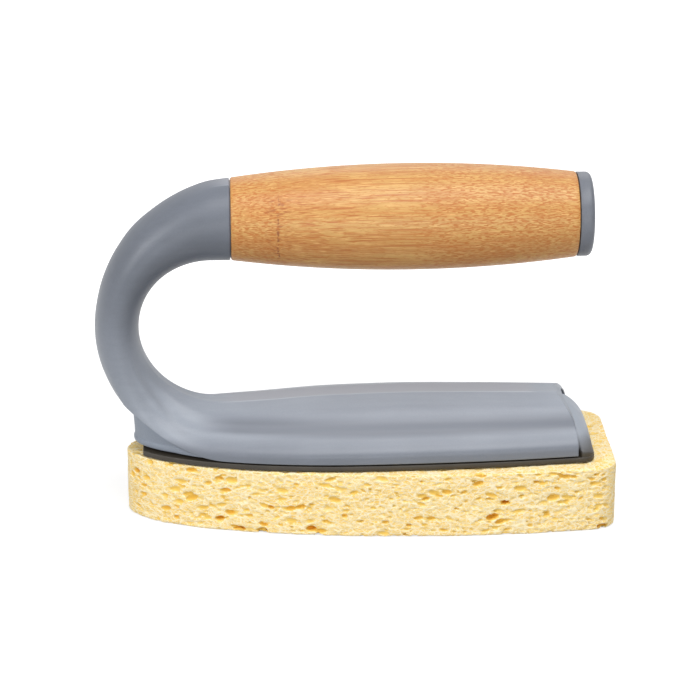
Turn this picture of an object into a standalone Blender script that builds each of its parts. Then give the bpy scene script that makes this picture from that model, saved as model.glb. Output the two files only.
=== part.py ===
"""Tub scrub brush: a C-shaped plastic handle with a bamboo grip, over a sponge head that slides off.

Metres, +Z up. X runs along the grip, with the loop at -X and the open end at +X.
The sponge stands on Z = 0, and the whole brush is symmetric about Y = 0.
"""
import math

import bmesh
import bpy
import numpy as np

# Fits
GAP = 0.0003                # between pieces that touch
SLIDE_GAP = 0.0005          # between the head's plate and the shell's rim
PLUG_GAP = 0.00045          # between the head's end plug and the shell's open end

# Sponge
SPONGE_LENGTH = 0.180
SPONGE_WIDTH = 0.0658
SPONGE_THICKNESS = 0.0245
SPONGE_OVERHANG = 0.0012    # how far the sponge's nose stands out before the base's nose
SPONGE_WIDEST_X = 0.036
SPONGE_TAIL_CURVE = 0.120
SPONGE_CORNER = 0.009
SPONGE_EDGE = 0.0007

# Base shell, in plan: a quarter ellipse to the nose, and a flatter one to the tail
BASE_HALF_WIDTH = 0.0291
WIDEST_X = 0.002
NOSE_LENGTH = 0.0855
TAIL_CURVE = 0.150
TAIL_LENGTH = 0.0799        # from the widest section to the shell's end at the rim
END_FALL = 0.0062           # how far the shell's end curves back from its foot to the crown
END_UPRIGHT = 0.0047        # height above the rim to which the end stands upright
END_POWER = 2.4
WALL = 0.0024

# Crown line of the shell: places from the loop's foot, and heights above the rim
CROWN_PLACES = (0.0, 0.0167, 0.0427, 0.0717, 0.0957, 0.1297)
CROWN_HEIGHTS = (0.0163, 0.0169, 0.0185, 0.0191, 0.0188, 0.0181)

# Section of the shell from the strip's crease to the rim, as shares of its half width and height
STRIP_DISH = 0.013
SECTION_WIDTHS = (0.160, 0.450, 0.628, 0.730, 0.814, 0.920, 0.985, 1.0, 1.0)
SECTION_HEIGHTS = (1.0, 0.859, 0.670, 0.497, 0.398, 0.304, 0.241, 0.173, 0.0)
# Where those points lie round the half section, from 0 at the crown to 1 below
SECTION_TURNS = (0.08, 0.20, 0.30, 0.38, 0.44, 0.50, 0.56, 0.62, 0.70)

# Loop, in radial sections from 90 degrees at the neck to 270 degrees at its foot
LOOP_SETBACK = 0.0318       # the loop's centre behind the base's nose
LOOP_INNER_RADIUS = 0.0273  # at the neck and at the foot
NECK_RADIUS = 0.0150
NECK_LENGTH = 0.0067
LOOP_RADIUS_ANGLES = (135, 180, 235)
LOOP_INNER_RADII = (0.0279, 0.0274, 0.0268)
LOOP_ANGLES = (98, 106, 116, 127, 137, 153, 167, 182, 200, 216, 227, 245)
LOOP_THICKNESSES = (0.0273, 0.0251, 0.0228, 0.0209, 0.0191, 0.0172,
                    0.0163, 0.0161, 0.0162, 0.0167, 0.0178, 0.0176)
LOOP_SIDE_ANGLES = (135, 180, 205, 222, 232, 240, 250, 260)
LOOP_HALF_WIDTHS = (0.0142, 0.0130, 0.0130, 0.0132, 0.0140, 0.0154, 0.0180, 0.0205)
OVAL_UNTIL = 185            # degrees, where the oval section starts to turn into the shell's
SHELL_FROM = 258            # degrees, where it has turned

# Rising lower edge of the loop's foot, over the heel
RISE_START = 0.0037         # after the loop's centre
RISE_LENGTH = 0.0345
RISE_HEIGHT = 0.0127
RISE_POWER = 1.6

# Grip, turned from bamboo
GRIP_LENGTH = 0.126
GRIP_RADIUS = 0.01945
GRIP_WIDEST = 0.065         # from the neck
GRIP_BARREL = 1.04          # how fast the radius falls, per metre squared
GRIP_EDGE = 0.0006
SPIGOT_RADIUS = 0.0060
SPIGOT_LENGTH = 0.0317
ROD_RADIUS = 0.0025
ROD_CLEARANCE = 0.0005
COUNTERBORE_RADIUS = 0.0080
COUNTERBORE_DEPTH = 0.0130

# Hardware in the grip
INSERT_RADIUS = 0.0037
INSERT_LENGTH = 0.0100
INSERT_GROOVE = 0.0004
INSERT_HOLE_DEPTH = 0.0140
WASHER_RADIUS = 0.0075
WASHER_THICKNESS = 0.0012
NUT_ACROSS_FLATS = 0.0080
NUT_THICKNESS = 0.0040
ROD_STAND_OUT = 0.0012
CAP_RADIUS = 0.01545
CAP_THICKNESS = 0.0052
CAP_EDGE = 0.0020
CAP_PLUG_LENGTH = 0.0040
CAP_PLUG_WALL = 0.0022
CAP_RECESS = 0.0010

# Rail frame: plate, heel, channel and bridges
FRAME_SETBACK = 0.0030
FRAME_PLATE = 0.0024
FRAME_END_SETBACK = 0.0179  # before the shell's end
HEEL_SETBACK = 0.0013
HEEL_LIFT = 0.0005          # of the heel's underside above the rim
HEEL_REACH = 0.0280         # from the nose to where the heel runs out
STEM_HALF = 0.0055
RAIL_HALF = 0.0100
RAIL_THICKNESS = 0.0020
RAIL_PLAY = 0.0005          # to each side of the stem and of the T-rail
CHANNEL_WALL = 0.0014
SPRING_ROOM = 0.0026
BRIDGE_THICKNESS = 0.0014
BRIDGE_HALF = 0.0042
RAIL_START = 0.0057         # after the loop's centre

# Screws
SCREW_RADIUS = 0.00145
SCREW_LENGTH = 0.0060
SCREW_HEAD_RADIUS = 0.0028
SCREW_HEAD_HEIGHT = 0.0016
HEEL_SCREW_RADIUS = 0.0015
HEEL_SCREW_LENGTH = 0.0120
HEEL_SCREW_SETBACK = 0.0155
FRONT_SCREW_X = 0.0217      # after the loop's centre
REAR_SCREW_X = 0.0299       # before the shell's end
BOSS_RADIUS = 0.0035
PAD_HEIGHT = 0.0008
PAD_RADIUS = 0.0042

# Detent spring and its notch
SPRING_X = 0.0197           # after the loop's centre
SPRING_HALF = 0.0120
SPRING_WIDTH = 0.0070
SPRING_GAUGE = 0.0004
NOTCH_DEPTH = 0.0008
NOTCH_HALF = 0.0052

# Head plate
FLANGE_THICKNESS = 0.0020
FLANGE_FRONT = 0.0050       # behind the base's nose, where the plate is cut off square
FLANGE_CORNER = 0.0050
HEAD_STAND_OUT = 0.0064     # past the shell's end at the rim
PLUG_ROOT = 0.0154          # before the shell's end
PLUG_DOME = 0.0138

# Levels and places that follow from the sizes above
RIM_Z = SPONGE_THICKNESS + GAP + FLANGE_THICKNESS + SLIDE_GAP
FLANGE_TOP = RIM_Z - SLIDE_GAP
FRAME_BOTTOM = RIM_Z + GAP
FRAME_TOP = FRAME_BOTTOM + FRAME_PLATE
PAD_TOP = FRAME_TOP + PAD_HEIGHT
RAIL_BOTTOM = FRAME_TOP + GAP
RAIL_TOP = RAIL_BOTTOM + RAIL_THICKNESS
BRIDGE_BOTTOM = RAIL_TOP + SPRING_ROOM
BRIDGE_TOP = BRIDGE_BOTTOM + BRIDGE_THICKNESS
HEEL_BOTTOM = RIM_Z + HEEL_LIFT
NOSE_X = WIDEST_X - NOSE_LENGTH
END_X = WIDEST_X + TAIL_LENGTH
LOOP_X = NOSE_X + LOOP_SETBACK
LOOP_Z = RIM_Z + CROWN_HEIGHTS[0] + LOOP_INNER_RADIUS
GRIP_Z = LOOP_Z + LOOP_INNER_RADIUS + NECK_RADIUS
SEAM_X = LOOP_X + NECK_LENGTH
GRIP_START = SEAM_X + GAP
GRIP_END = GRIP_START + GRIP_LENGTH
RAIL_START_X = LOOP_X + RAIL_START
CAVITY_START_X = RAIL_START_X - GAP - CHANNEL_WALL - SLIDE_GAP - GAP
FRAME_END_X = END_X - FRAME_END_SETBACK
PLUG_ROOT_X = END_X - PLUG_ROOT
HEAD_END_X = END_X + HEAD_STAND_OUT
SPRING_MID_X = LOOP_X + SPRING_X
CHANNEL_HALF = RAIL_HALF + RAIL_PLAY
CHANNEL_OUTSIDE = CHANNEL_HALF + CHANNEL_WALL
SCREW_Y = CHANNEL_OUTSIDE + GAP + BOSS_RADIUS
HEEL_SCREW_X = NOSE_X + HEEL_SCREW_SETBACK
FAR = 0.02                  # how far a cutter runs past what it cuts


def collection(name):
    group = bpy.data.collections.new(name)
    bpy.context.scene.collection.children.link(group)
    return group


for old in list(bpy.data.objects):
    bpy.data.objects.remove(old, do_unlink=True)

PARTS = collection("tub_scrub_brush")
CUTTERS = collection("cutters")


def finish(name, colour, roughness, metallic=0.0):
    """A material with one colour, in linear values."""
    made = bpy.data.materials.new(name)
    made.use_nodes = True
    shader = made.node_tree.nodes["Principled BSDF"]
    shader.inputs["Base Color"].default_value = (*colour, 1.0)
    shader.inputs["Roughness"].default_value = roughness
    shader.inputs["Metallic"].default_value = metallic
    return made


HANDLE_GREY = finish("handle_grey", (0.235, 0.270, 0.312), 0.45)
FRAME_GREY = finish("frame_grey", (0.225, 0.255, 0.292), 0.50)
PLATE_GREY = finish("plate_grey", (0.150, 0.162, 0.178), 0.50)
CAP_GREY = finish("cap_grey", (0.235, 0.270, 0.312), 0.40)
BAMBOO = finish("bamboo", (0.640, 0.350, 0.130), 0.42)
CELLULOSE = finish("cellulose", (0.900, 0.720, 0.330), 0.90)
BRASS = finish("brass", (0.730, 0.540, 0.250), 0.30, 1.0)
STEEL = finish("zinc_plated_steel", (0.620, 0.630, 0.650), 0.32, 1.0)
SPRING_STEEL = finish("spring_steel", (0.500, 0.510, 0.530), 0.25, 1.0)


def place(thing, group, material=None):
    """Puts an object in a collection: a part gets its material, and a cutter is hidden."""
    for old in list(thing.users_collection):
        old.objects.unlink(thing)
    group.objects.link(thing)
    if group == CUTTERS:
        thing.hide_render = True
        thing.display_type = "WIRE"
    else:
        thing.data.materials.append(material)
    return thing


def from_bmesh(name, work, group, material=None):
    bmesh.ops.recalc_face_normals(work, faces=work.faces)
    mesh = bpy.data.meshes.new(name)
    work.to_mesh(mesh)
    work.free()
    return place(bpy.data.objects.new(name, mesh), group, material)


def shade_round(thing, degrees=32):
    thing.data.shade_smooth()
    thing.data.set_sharp_from_angle(angle=math.radians(degrees))
    return thing


def loft(name, rings, group, material=None):
    """A closed skin over rings of equal point counts, with a flat face on each end ring."""
    work = bmesh.new()
    rows = [[work.verts.new(point) for point in ring] for ring in rings]
    count = len(rows[0])
    for near, far in zip(rows, rows[1:]):
        for i in range(count):
            j = (i + 1) % count
            work.faces.new((near[i], near[j], far[j], far[i]))
    work.faces.new(rows[0])
    work.faces.new(rows[-1])
    return from_bmesh(name, work, group, material)


def slab(name, outline, low, high, group, material=None):
    """A flat outline in plan, extruded between two levels."""
    return extruded(name, outline, (0, 0, (low + high) / 2), (0, 0, 0), high - low, group, material)


def upright_slab(name, outline, width, group, material=None):
    """An outline in side view, as (X, Z) points, extruded to both sides of Y = 0."""
    return extruded(name, outline, (0, 0, 0), (math.pi / 2, 0, 0), width, group, material)


def extruded(name, outline, location, rotation, depth, group, material=None):
    """A 2D curve filled on both sides and extruded, then made one welded mesh."""
    curve = bpy.data.curves.new(name + "_outline", "CURVE")
    curve.dimensions = "2D"
    curve.fill_mode = "BOTH"
    curve.extrude = depth / 2
    spline = curve.splines.new("POLY")
    spline.points.add(len(outline) - 1)
    for point, (across, along) in zip(spline.points, outline):
        point.co = (across, along, 0, 1)
    spline.use_cyclic_u = True
    holder = bpy.data.objects.new(name + "_outline", curve)
    holder.location = location
    holder.rotation_euler = rotation
    PARTS.objects.link(holder)
    bpy.context.view_layer.update()
    graph = bpy.context.evaluated_depsgraph_get()
    mesh = bpy.data.meshes.new_from_object(holder.evaluated_get(graph))
    work = bmesh.new()
    work.from_mesh(mesh)
    bmesh.ops.remove_doubles(work, verts=work.verts, dist=1e-6)
    bmesh.ops.recalc_face_normals(work, faces=work.faces)
    work.to_mesh(mesh)
    work.free()
    thing = bpy.data.objects.new(name, mesh)
    thing.matrix_world = holder.matrix_world
    bpy.data.objects.remove(holder, do_unlink=True)
    return place(thing, group, material)


def block(name, low, high, group, material=None):
    """A box between two corners."""
    bpy.ops.mesh.primitive_cube_add(size=1.0, location=[(a + b) / 2 for a, b in zip(low, high)])
    thing = bpy.context.object
    thing.name = name
    thing.scale = [b - a for a, b in zip(low, high)]
    bpy.ops.object.transform_apply(location=False, rotation=False, scale=True)
    return place(thing, group, material)


def pin(name, radius, low, high, group, material=None, sides=24):
    """An upright cylinder between two points that share X and Y."""
    middle = [(a + b) / 2 for a, b in zip(low, high)]
    bpy.ops.mesh.primitive_cylinder_add(vertices=sides, radius=radius, depth=high[2] - low[2],
                                        location=middle)
    thing = bpy.context.object
    thing.name = name
    return place(thing, group, material)


def turned(name, outline, location, rotation, group, material=None, steps=32, ring=False):
    """A turned piece: (radius, height) points, down the outer side and, for a ring, up the bore."""
    mesh = bpy.data.meshes.new(name)
    edges = [(i, i + 1) for i in range(len(outline) - 1)]
    if ring:
        edges.append((len(outline) - 1, 0))
    mesh.from_pydata([(radius, 0, height) for radius, height in outline], edges, [])
    thing = bpy.data.objects.new(name, mesh)
    thing.location = location
    thing.rotation_euler = rotation
    lathe = thing.modifiers.new("lathe", "SCREW")
    lathe.steps = steps
    lathe.render_steps = steps
    lathe.use_merge_vertices = True
    lathe.merge_threshold = 0.00001
    lathe.use_smooth_shade = True
    return place(thing, group, material)


def combine(thing, tool, operation):
    change = thing.modifiers.new(operation.lower(), "BOOLEAN")
    change.operation = operation
    change.object = tool


def cut(thing, *tools):
    for tool in tools:
        combine(thing, tool, "DIFFERENCE")


def join(thing, *tools):
    for tool in tools:
        combine(thing, tool, "UNION")


def smooth(at, knots, values):
    """A curve through the values at the knots that never overshoots them."""
    knots = np.asarray(knots, float)
    values = np.asarray(values, float)
    spans = np.diff(knots)
    slopes = np.diff(values) / spans
    steepness = np.zeros(len(knots))
    steepness[0] = slopes[0]
    steepness[-1] = slopes[-1]
    same_way = slopes[:-1] * slopes[1:] > 0
    total = np.where(same_way, slopes[:-1] + slopes[1:], 1.0)
    steepness[1:-1] = np.where(same_way, 2 * slopes[:-1] * slopes[1:] / total, 0.0)
    i = np.clip(np.searchsorted(knots, at) - 1, 0, len(spans) - 1)
    t = np.clip((at - knots[i]) / spans[i], 0, 1)
    start = (1 + 2 * t) * (1 - t) ** 2 * values[i] + t * (1 - t) ** 2 * spans[i] * steepness[i]
    stop = t * t * (3 - 2 * t) * values[i + 1] - t * t * (1 - t) * spans[i] * steepness[i + 1]
    return start + stop


def ease(value, start, stop):
    """0 before start, 1 after stop, and a smooth step between."""
    t = min(max((value - start) / (stop - start), 0.0), 1.0)
    return t * t * (3 - 2 * t)


def base_half_width(x, inset=0.0):
    """Half the base's width in plan at x, with its outline set in."""
    if x < WIDEST_X:
        share = (WIDEST_X - x) / (NOSE_LENGTH - inset)
        return (BASE_HALF_WIDTH - inset) * math.sqrt(max(1 - share * share, 0.0))
    share = (x - WIDEST_X) / TAIL_CURVE
    return BASE_HALF_WIDTH * math.sqrt(max(1 - share * share, 0.0)) - inset


def sponge_half_width(x):
    reach = SPONGE_WIDEST_X - SPONGE_FRONT_X
    if x > SPONGE_WIDEST_X:
        reach = SPONGE_TAIL_CURVE
    share = (x - SPONGE_WIDEST_X) / reach
    return SPONGE_WIDTH / 2 * math.sqrt(max(1 - share * share, 0.0))


def iron_outline(half_width, front, widest, end, corner):
    """A plan outline like an iron's: round nose or square front, swelling sides and a square end."""
    straight_end = end - corner
    last_turn = math.acos((min(straight_end, widest) - widest) / (front - widest))
    places = list(widest + (front - widest) * np.cos(np.linspace(0, last_turn, 15)))
    if straight_end > widest:
        places += list(np.linspace(widest, straight_end, 9)[1:])
    side = [(x, half_width(x)) for x in places]
    last = side[-1][1]
    if corner > 0:
        side += [(end - corner + corner * math.sin(turn), last - corner + corner * math.cos(turn))
                 for turn in np.linspace(0, math.pi / 2, 7)[1:]]
    return side + [(x, -y) for x, y in reversed(side) if y > 1e-6]


def crown_height(x):
    """Height of the shell's crown above its rim."""
    return float(smooth(x - LOOP_X, CROWN_PLACES, CROWN_HEIGHTS))


def rise(x):
    """Level of the lower edge of the loop's foot."""
    share = max(LOOP_X + RISE_START - x, 0.0) / RISE_LENGTH
    return RIM_Z + RISE_HEIGHT * share ** RISE_POWER


SPONGE_FRONT_X = NOSE_X - SPONGE_OVERHANG
SPONGE_END_X = SPONGE_FRONT_X + SPONGE_LENGTH

# Turns round the half section at which each ring has its points
FLANK_TURNS = np.linspace(SECTION_TURNS[0], SECTION_TURNS[6], 15)
TURNS = np.concatenate([[0.0, SECTION_TURNS[0] / 2], FLANK_TURNS, SECTION_TURNS[7:],
                        np.linspace(SECTION_TURNS[8], 1.0, 6)[1:]])


def shell_section():
    """The shell's half section at those turns: shares of the half width, and depths below the crown."""
    across = smooth(TURNS, SECTION_TURNS, SECTION_WIDTHS)
    depth = 1 - smooth(TURNS, SECTION_TURNS, SECTION_HEIGHTS)
    strip = TURNS < SECTION_TURNS[0]
    across[strip] = SECTION_WIDTHS[0] * TURNS[strip] / SECTION_TURNS[0]
    depth[strip] = STRIP_DISH * (1 - (TURNS[strip] / SECTION_TURNS[0]) ** 2)
    below = TURNS > SECTION_TURNS[8]
    across[below] = (1 - TURNS[below]) / (1 - SECTION_TURNS[8])
    depth[below] = 1.0
    return across, depth


def half_section(half_width, thickness, mix):
    """Half a ring, between the loop's oval (mix 0) and the shell's section (mix 1)."""
    across, depth = shell_section()
    oval_across = np.sin(math.pi * TURNS)
    oval_depth = (1 - np.cos(math.pi * TURNS)) / 2
    across = half_width * (oval_across + mix * (across - oval_across))
    depth = thickness * (oval_depth + mix * (depth - oval_depth))
    return across, depth


def full_ring(across, points):
    """A half ring and its mirror image as one ring, from functions of the half ring's index."""
    half = [(points(i)[0], across[i], points(i)[1]) for i in range(len(across))]
    return half + [(x, -y, z) for x, y, z in reversed(half[1:-1])]


def end_profile():
    """Side outline of the shell's curved end: (X, Z) points up from the rim."""
    heights = np.linspace(0, CROWN_HEIGHTS[-1] + 2 * WALL, 13)
    shares = np.maximum(heights - END_UPRIGHT, 0) / (CROWN_HEIGHTS[-1] - END_UPRIGHT)
    backs = END_FALL * shares ** END_POWER
    return [(END_X - back, RIM_Z + height) for back, height in zip(backs, heights)]


def shell_ring(x):
    height = crown_height(x)
    across, depth = half_section(base_half_width(x), height, 1.0)
    return full_ring(across, lambda i: (x, RIM_Z + height - depth[i]))


def loop_ring(degrees):
    angles = (90,) + LOOP_ANGLES + (270,)
    thicknesses = (2 * NECK_RADIUS,) + LOOP_THICKNESSES + (crown_height(LOOP_X),)
    side_angles = (90,) + LOOP_SIDE_ANGLES + (270,)
    half_widths = (NECK_RADIUS,) + LOOP_HALF_WIDTHS + (base_half_width(LOOP_X),)
    thickness = float(smooth(degrees, angles, thicknesses))
    half_width = float(smooth(degrees, side_angles, half_widths))
    across, depth = half_section(half_width, thickness, ease(degrees, OVAL_UNTIL, SHELL_FROM))
    radius_angles = (90,) + LOOP_RADIUS_ANGLES + (270,)
    radii = (LOOP_INNER_RADIUS,) + LOOP_INNER_RADII + (LOOP_INNER_RADIUS,)
    turn = math.radians(degrees)
    radius = float(smooth(degrees, radius_angles, radii)) + depth
    x = LOOP_X + radius * math.cos(turn)
    z = LOOP_Z + radius * math.sin(turn)
    return full_ring(across, lambda i: (x[i], z[i]))


def neck_ring(x):
    across, depth = half_section(NECK_RADIUS, 2 * NECK_RADIUS, 0.0)
    return full_ring(across, lambda i: (x, GRIP_Z - NECK_RADIUS + depth[i]))


def inner_section(x, inset):
    """Half the shell's inside section at x: the flank set in along its normals, then an upright wall."""
    height = crown_height(x)
    across, depth = half_section(base_half_width(x), height, 1.0)
    flank = TURNS <= SECTION_TURNS[7]
    across = across[flank]
    level = RIM_Z + height - depth[flank]
    run = np.gradient(across)
    fall = -np.gradient(level)
    length = np.hypot(run, fall)
    inner_across = np.minimum(across - inset * fall / length, base_half_width(x) - inset)
    inner_level = level - inset * run / length
    inner_across[0] = 0.0
    inner_level[0] = level[0] - inset
    keep = np.append(np.arange(0, len(across) - 1, 2), len(across) - 1)
    return inner_across[keep], inner_level[keep]


def cavity_ring(x):
    across, level = inner_section(x, WALL)
    wall = base_half_width(x) - WALL
    across = np.concatenate([across, [wall, 0.0]])
    level = np.concatenate([level, [RIM_Z - FAR, RIM_Z - FAR]])
    return full_ring(across, lambda i: (x, level[i]))


def plug_ring(x, inset):
    """A ring of the head's end plug: the shell's end section set in, drawn in over the dome."""
    across, level = inner_section(END_X, inset)
    wall = base_half_width(END_X) - inset
    share = max(x - (HEAD_END_X - PLUG_DOME), 0.0) / PLUG_DOME
    side = (1 - share ** 5) ** (1 / 5)
    top = (1 - share ** 2.2) ** (1 / 2.2)
    low = FLANGE_TOP - FLANGE_THICKNESS / 2
    across = np.concatenate([across, [wall, 0.0]]) * side
    level = np.concatenate([FLANGE_TOP + (level - FLANGE_TOP) * top, [low, low]])
    return full_ring(across, lambda i: (x, level[i]))


def plug_places():
    """From the plug's root over its dome, closer together as the dome falls away."""
    dome_start = HEAD_END_X - PLUG_DOME
    return [PLUG_ROOT_X] + [dome_start + PLUG_DOME * math.sin(turn) for turn in np.linspace(0, 1.40, 9)]


def screw_places():
    """Name endings and places of the four rail screws."""
    for side, x in (("left", LOOP_X + FRONT_SCREW_X), ("right", END_X - REAR_SCREW_X)):
        for face, y in (("front", -SCREW_Y), ("back", SCREW_Y)):
            yield side + "_" + face, x, y


def handle_body():
    """The one moulding: neck, loop and shell lofted as one skin, then cored out from below."""
    rings = [neck_ring(SEAM_X), neck_ring((SEAM_X + LOOP_X) / 2)]
    rings += [loop_ring(degrees) for degrees in np.linspace(90, 270, 25)]
    rings += [shell_ring(x) for x in np.linspace(LOOP_X, END_X + WALL, 17)[1:]]
    body = loft("handle_body", rings, PARTS, HANDLE_GREY)
    shade_round(body)

    hole = INSERT_RADIUS + GAP
    hole_floor = SPIGOT_LENGTH - INSERT_HOLE_DEPTH
    spigot = turned("spigot", [(0, hole_floor), (hole, hole_floor), (hole, SPIGOT_LENGTH),
                               (SPIGOT_RADIUS - GAP, SPIGOT_LENGTH), (SPIGOT_RADIUS, SPIGOT_LENGTH - GAP),
                               (SPIGOT_RADIUS, -NECK_LENGTH / 2), (0, -NECK_LENGTH / 2)],
                    (SEAM_X, 0, GRIP_Z), (0, math.pi / 2, 0), CUTTERS)
    join(body, spigot)

    places = np.linspace(CAVITY_START_X, END_X + FAR, 15)
    cavity = loft("cavity", [cavity_ring(x) for x in places], CUTTERS)
    for name, x, y in screw_places():
        top = RIM_Z + crown_height(x) + FAR
        cut(cavity, pin("boss_" + name, BOSS_RADIUS, (x, y, PAD_TOP + GAP), (x, y, top), CUTTERS))
    cut(body, cavity)

    pocket = slab("pocket", iron_outline(lambda x: base_half_width(x, FRAME_SETBACK - GAP),
                                         NOSE_X + FRAME_SETBACK - GAP, WIDEST_X, CAVITY_START_X + GAP, 0),
                  RIM_Z - FAR, FRAME_TOP + GAP, CUTTERS)
    far = NOSE_X - FAR
    edge = [(x, rise(x)) for x in np.linspace(far, LOOP_X + RISE_START, 25)]
    rim_start = LOOP_X + RISE_START + GAP
    edge += [(rim_start, RIM_Z - GAP), (rim_start, RIM_Z - FAR), (far, RIM_Z - FAR)]
    trim = upright_slab("foot_trim", edge, 4 * BASE_HALF_WIDTH, CUTTERS)
    end = end_profile()
    end += [(END_X + FAR, end[-1][1]), (END_X + FAR, RIM_Z - FAR), (END_X, RIM_Z - FAR)]
    cut(body, pocket, trim, upright_slab("end_trim", end, 4 * BASE_HALF_WIDTH, CUTTERS))

    hole_top = PAD_TOP - SCREW_HEAD_HEIGHT + SCREW_LENGTH
    for name, x, y in screw_places():
        hole = pin("hole_" + name, SCREW_RADIUS + GAP, (x, y, RIM_Z), (x, y, hole_top), CUTTERS, sides=16)
        cut(body, hole)
    heel_hole_top = HEEL_BOTTOM + SCREW_HEAD_HEIGHT + HEEL_SCREW_LENGTH + 2 * GAP
    cut(body, pin("heel_hole", HEEL_SCREW_RADIUS + GAP, (HEEL_SCREW_X, 0, RIM_Z - FAR),
                  (HEEL_SCREW_X, 0, heel_hole_top), CUTTERS, sides=16))
    return body


def grip():
    """The bamboo barrel: bored for the spigot and the rod, and counterbored for the nut."""
    along = np.linspace(GRIP_EDGE, GRIP_LENGTH - GRIP_EDGE, 17)[::-1]

    def radius(height):
        return GRIP_RADIUS - GRIP_BARREL * (height - GRIP_WIDEST) ** 2

    outline = [(radius(GRIP_LENGTH) - GRIP_EDGE, GRIP_LENGTH)]
    outline += [(radius(height), height) for height in along]
    outline += [(radius(0) - GRIP_EDGE, 0)]
    socket = SPIGOT_RADIUS + GAP
    bore = ROD_RADIUS + ROD_CLEARANCE
    outline += [(socket, 0), (socket, SPIGOT_LENGTH), (bore, SPIGOT_LENGTH),
                (bore, GRIP_LENGTH - COUNTERBORE_DEPTH),
                (COUNTERBORE_RADIUS, GRIP_LENGTH - COUNTERBORE_DEPTH), (COUNTERBORE_RADIUS, GRIP_LENGTH)]
    return turned("grip", outline, (GRIP_START, 0, GRIP_Z), (0, math.pi / 2, 0), PARTS, BAMBOO,
                  steps=40, ring=True)


def end_cap():
    """Moulded cap: a disc with a rounded edge, and a ring that plugs the counterbore."""
    arc = [(CAP_RADIUS - CAP_EDGE * (1 - math.sin(turn)), CAP_THICKNESS - CAP_EDGE * (1 - math.cos(turn)))
           for turn in np.linspace(0, math.pi / 2, 6)]
    plug = COUNTERBORE_RADIUS - GAP
    outline = [(0, CAP_THICKNESS)] + arc
    outline += [(CAP_RADIUS, 0), (plug, 0), (plug, -CAP_PLUG_LENGTH),
                (plug - CAP_PLUG_WALL, -CAP_PLUG_LENGTH), (plug - CAP_PLUG_WALL, CAP_RECESS), (0, CAP_RECESS)]
    return turned("end_cap", outline, (GRIP_END + GAP, 0, GRIP_Z), (0, math.pi / 2, 0), PARTS, CAP_GREY,
                  steps=40)


def grip_hardware():
    """Insert in the spigot, rod through the bamboo, washer and nut in the counterbore."""
    across = (0, math.pi / 2, 0)
    insert_x = SEAM_X + SPIGOT_LENGTH - INSERT_LENGTH - GAP
    bore = ROD_RADIUS + GAP
    groove = INSERT_RADIUS - INSERT_GROOVE
    third = INSERT_LENGTH / 3
    outline = [(INSERT_RADIUS, INSERT_LENGTH), (INSERT_RADIUS, 2 * third), (groove, 2 * third),
               (groove, third), (INSERT_RADIUS, third), (INSERT_RADIUS, 0), (bore, 0), (bore, INSERT_LENGTH)]
    turned("threaded_insert", outline, (insert_x, 0, GRIP_Z), across, PARTS, BRASS, ring=True)

    washer_x = GRIP_END - COUNTERBORE_DEPTH + GAP
    nut_x = washer_x + WASHER_THICKNESS + GAP
    rod_end = nut_x + NUT_THICKNESS + ROD_STAND_OUT
    length = rod_end - insert_x
    chamfer = ROD_RADIUS / 5
    outline = [(0, length), (ROD_RADIUS - chamfer, length), (ROD_RADIUS, length - chamfer),
               (ROD_RADIUS, chamfer), (ROD_RADIUS - chamfer, 0), (0, 0)]
    turned("tie_rod", outline, (insert_x, 0, GRIP_Z), across, PARTS, STEEL, steps=24)
    outline = [(WASHER_RADIUS, WASHER_THICKNESS), (WASHER_RADIUS, 0), (bore, 0), (bore, WASHER_THICKNESS)]
    turned("rod_washer", outline, (washer_x, 0, GRIP_Z), across, PARTS, STEEL, ring=True)

    bpy.ops.mesh.primitive_cylinder_add(vertices=6, radius=NUT_ACROSS_FLATS / math.sqrt(3),
                                        depth=NUT_THICKNESS, rotation=across,
                                        location=(nut_x + NUT_THICKNESS / 2, 0, GRIP_Z))
    nut = bpy.context.object
    nut.name = "rod_nut"
    place(nut, PARTS, STEEL)
    outline = [(0, FAR), (bore, FAR), (bore, -FAR), (0, -FAR)]
    cut(nut, turned("nut_bore", outline, (nut_x, 0, GRIP_Z), across, CUTTERS, steps=24))


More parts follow.
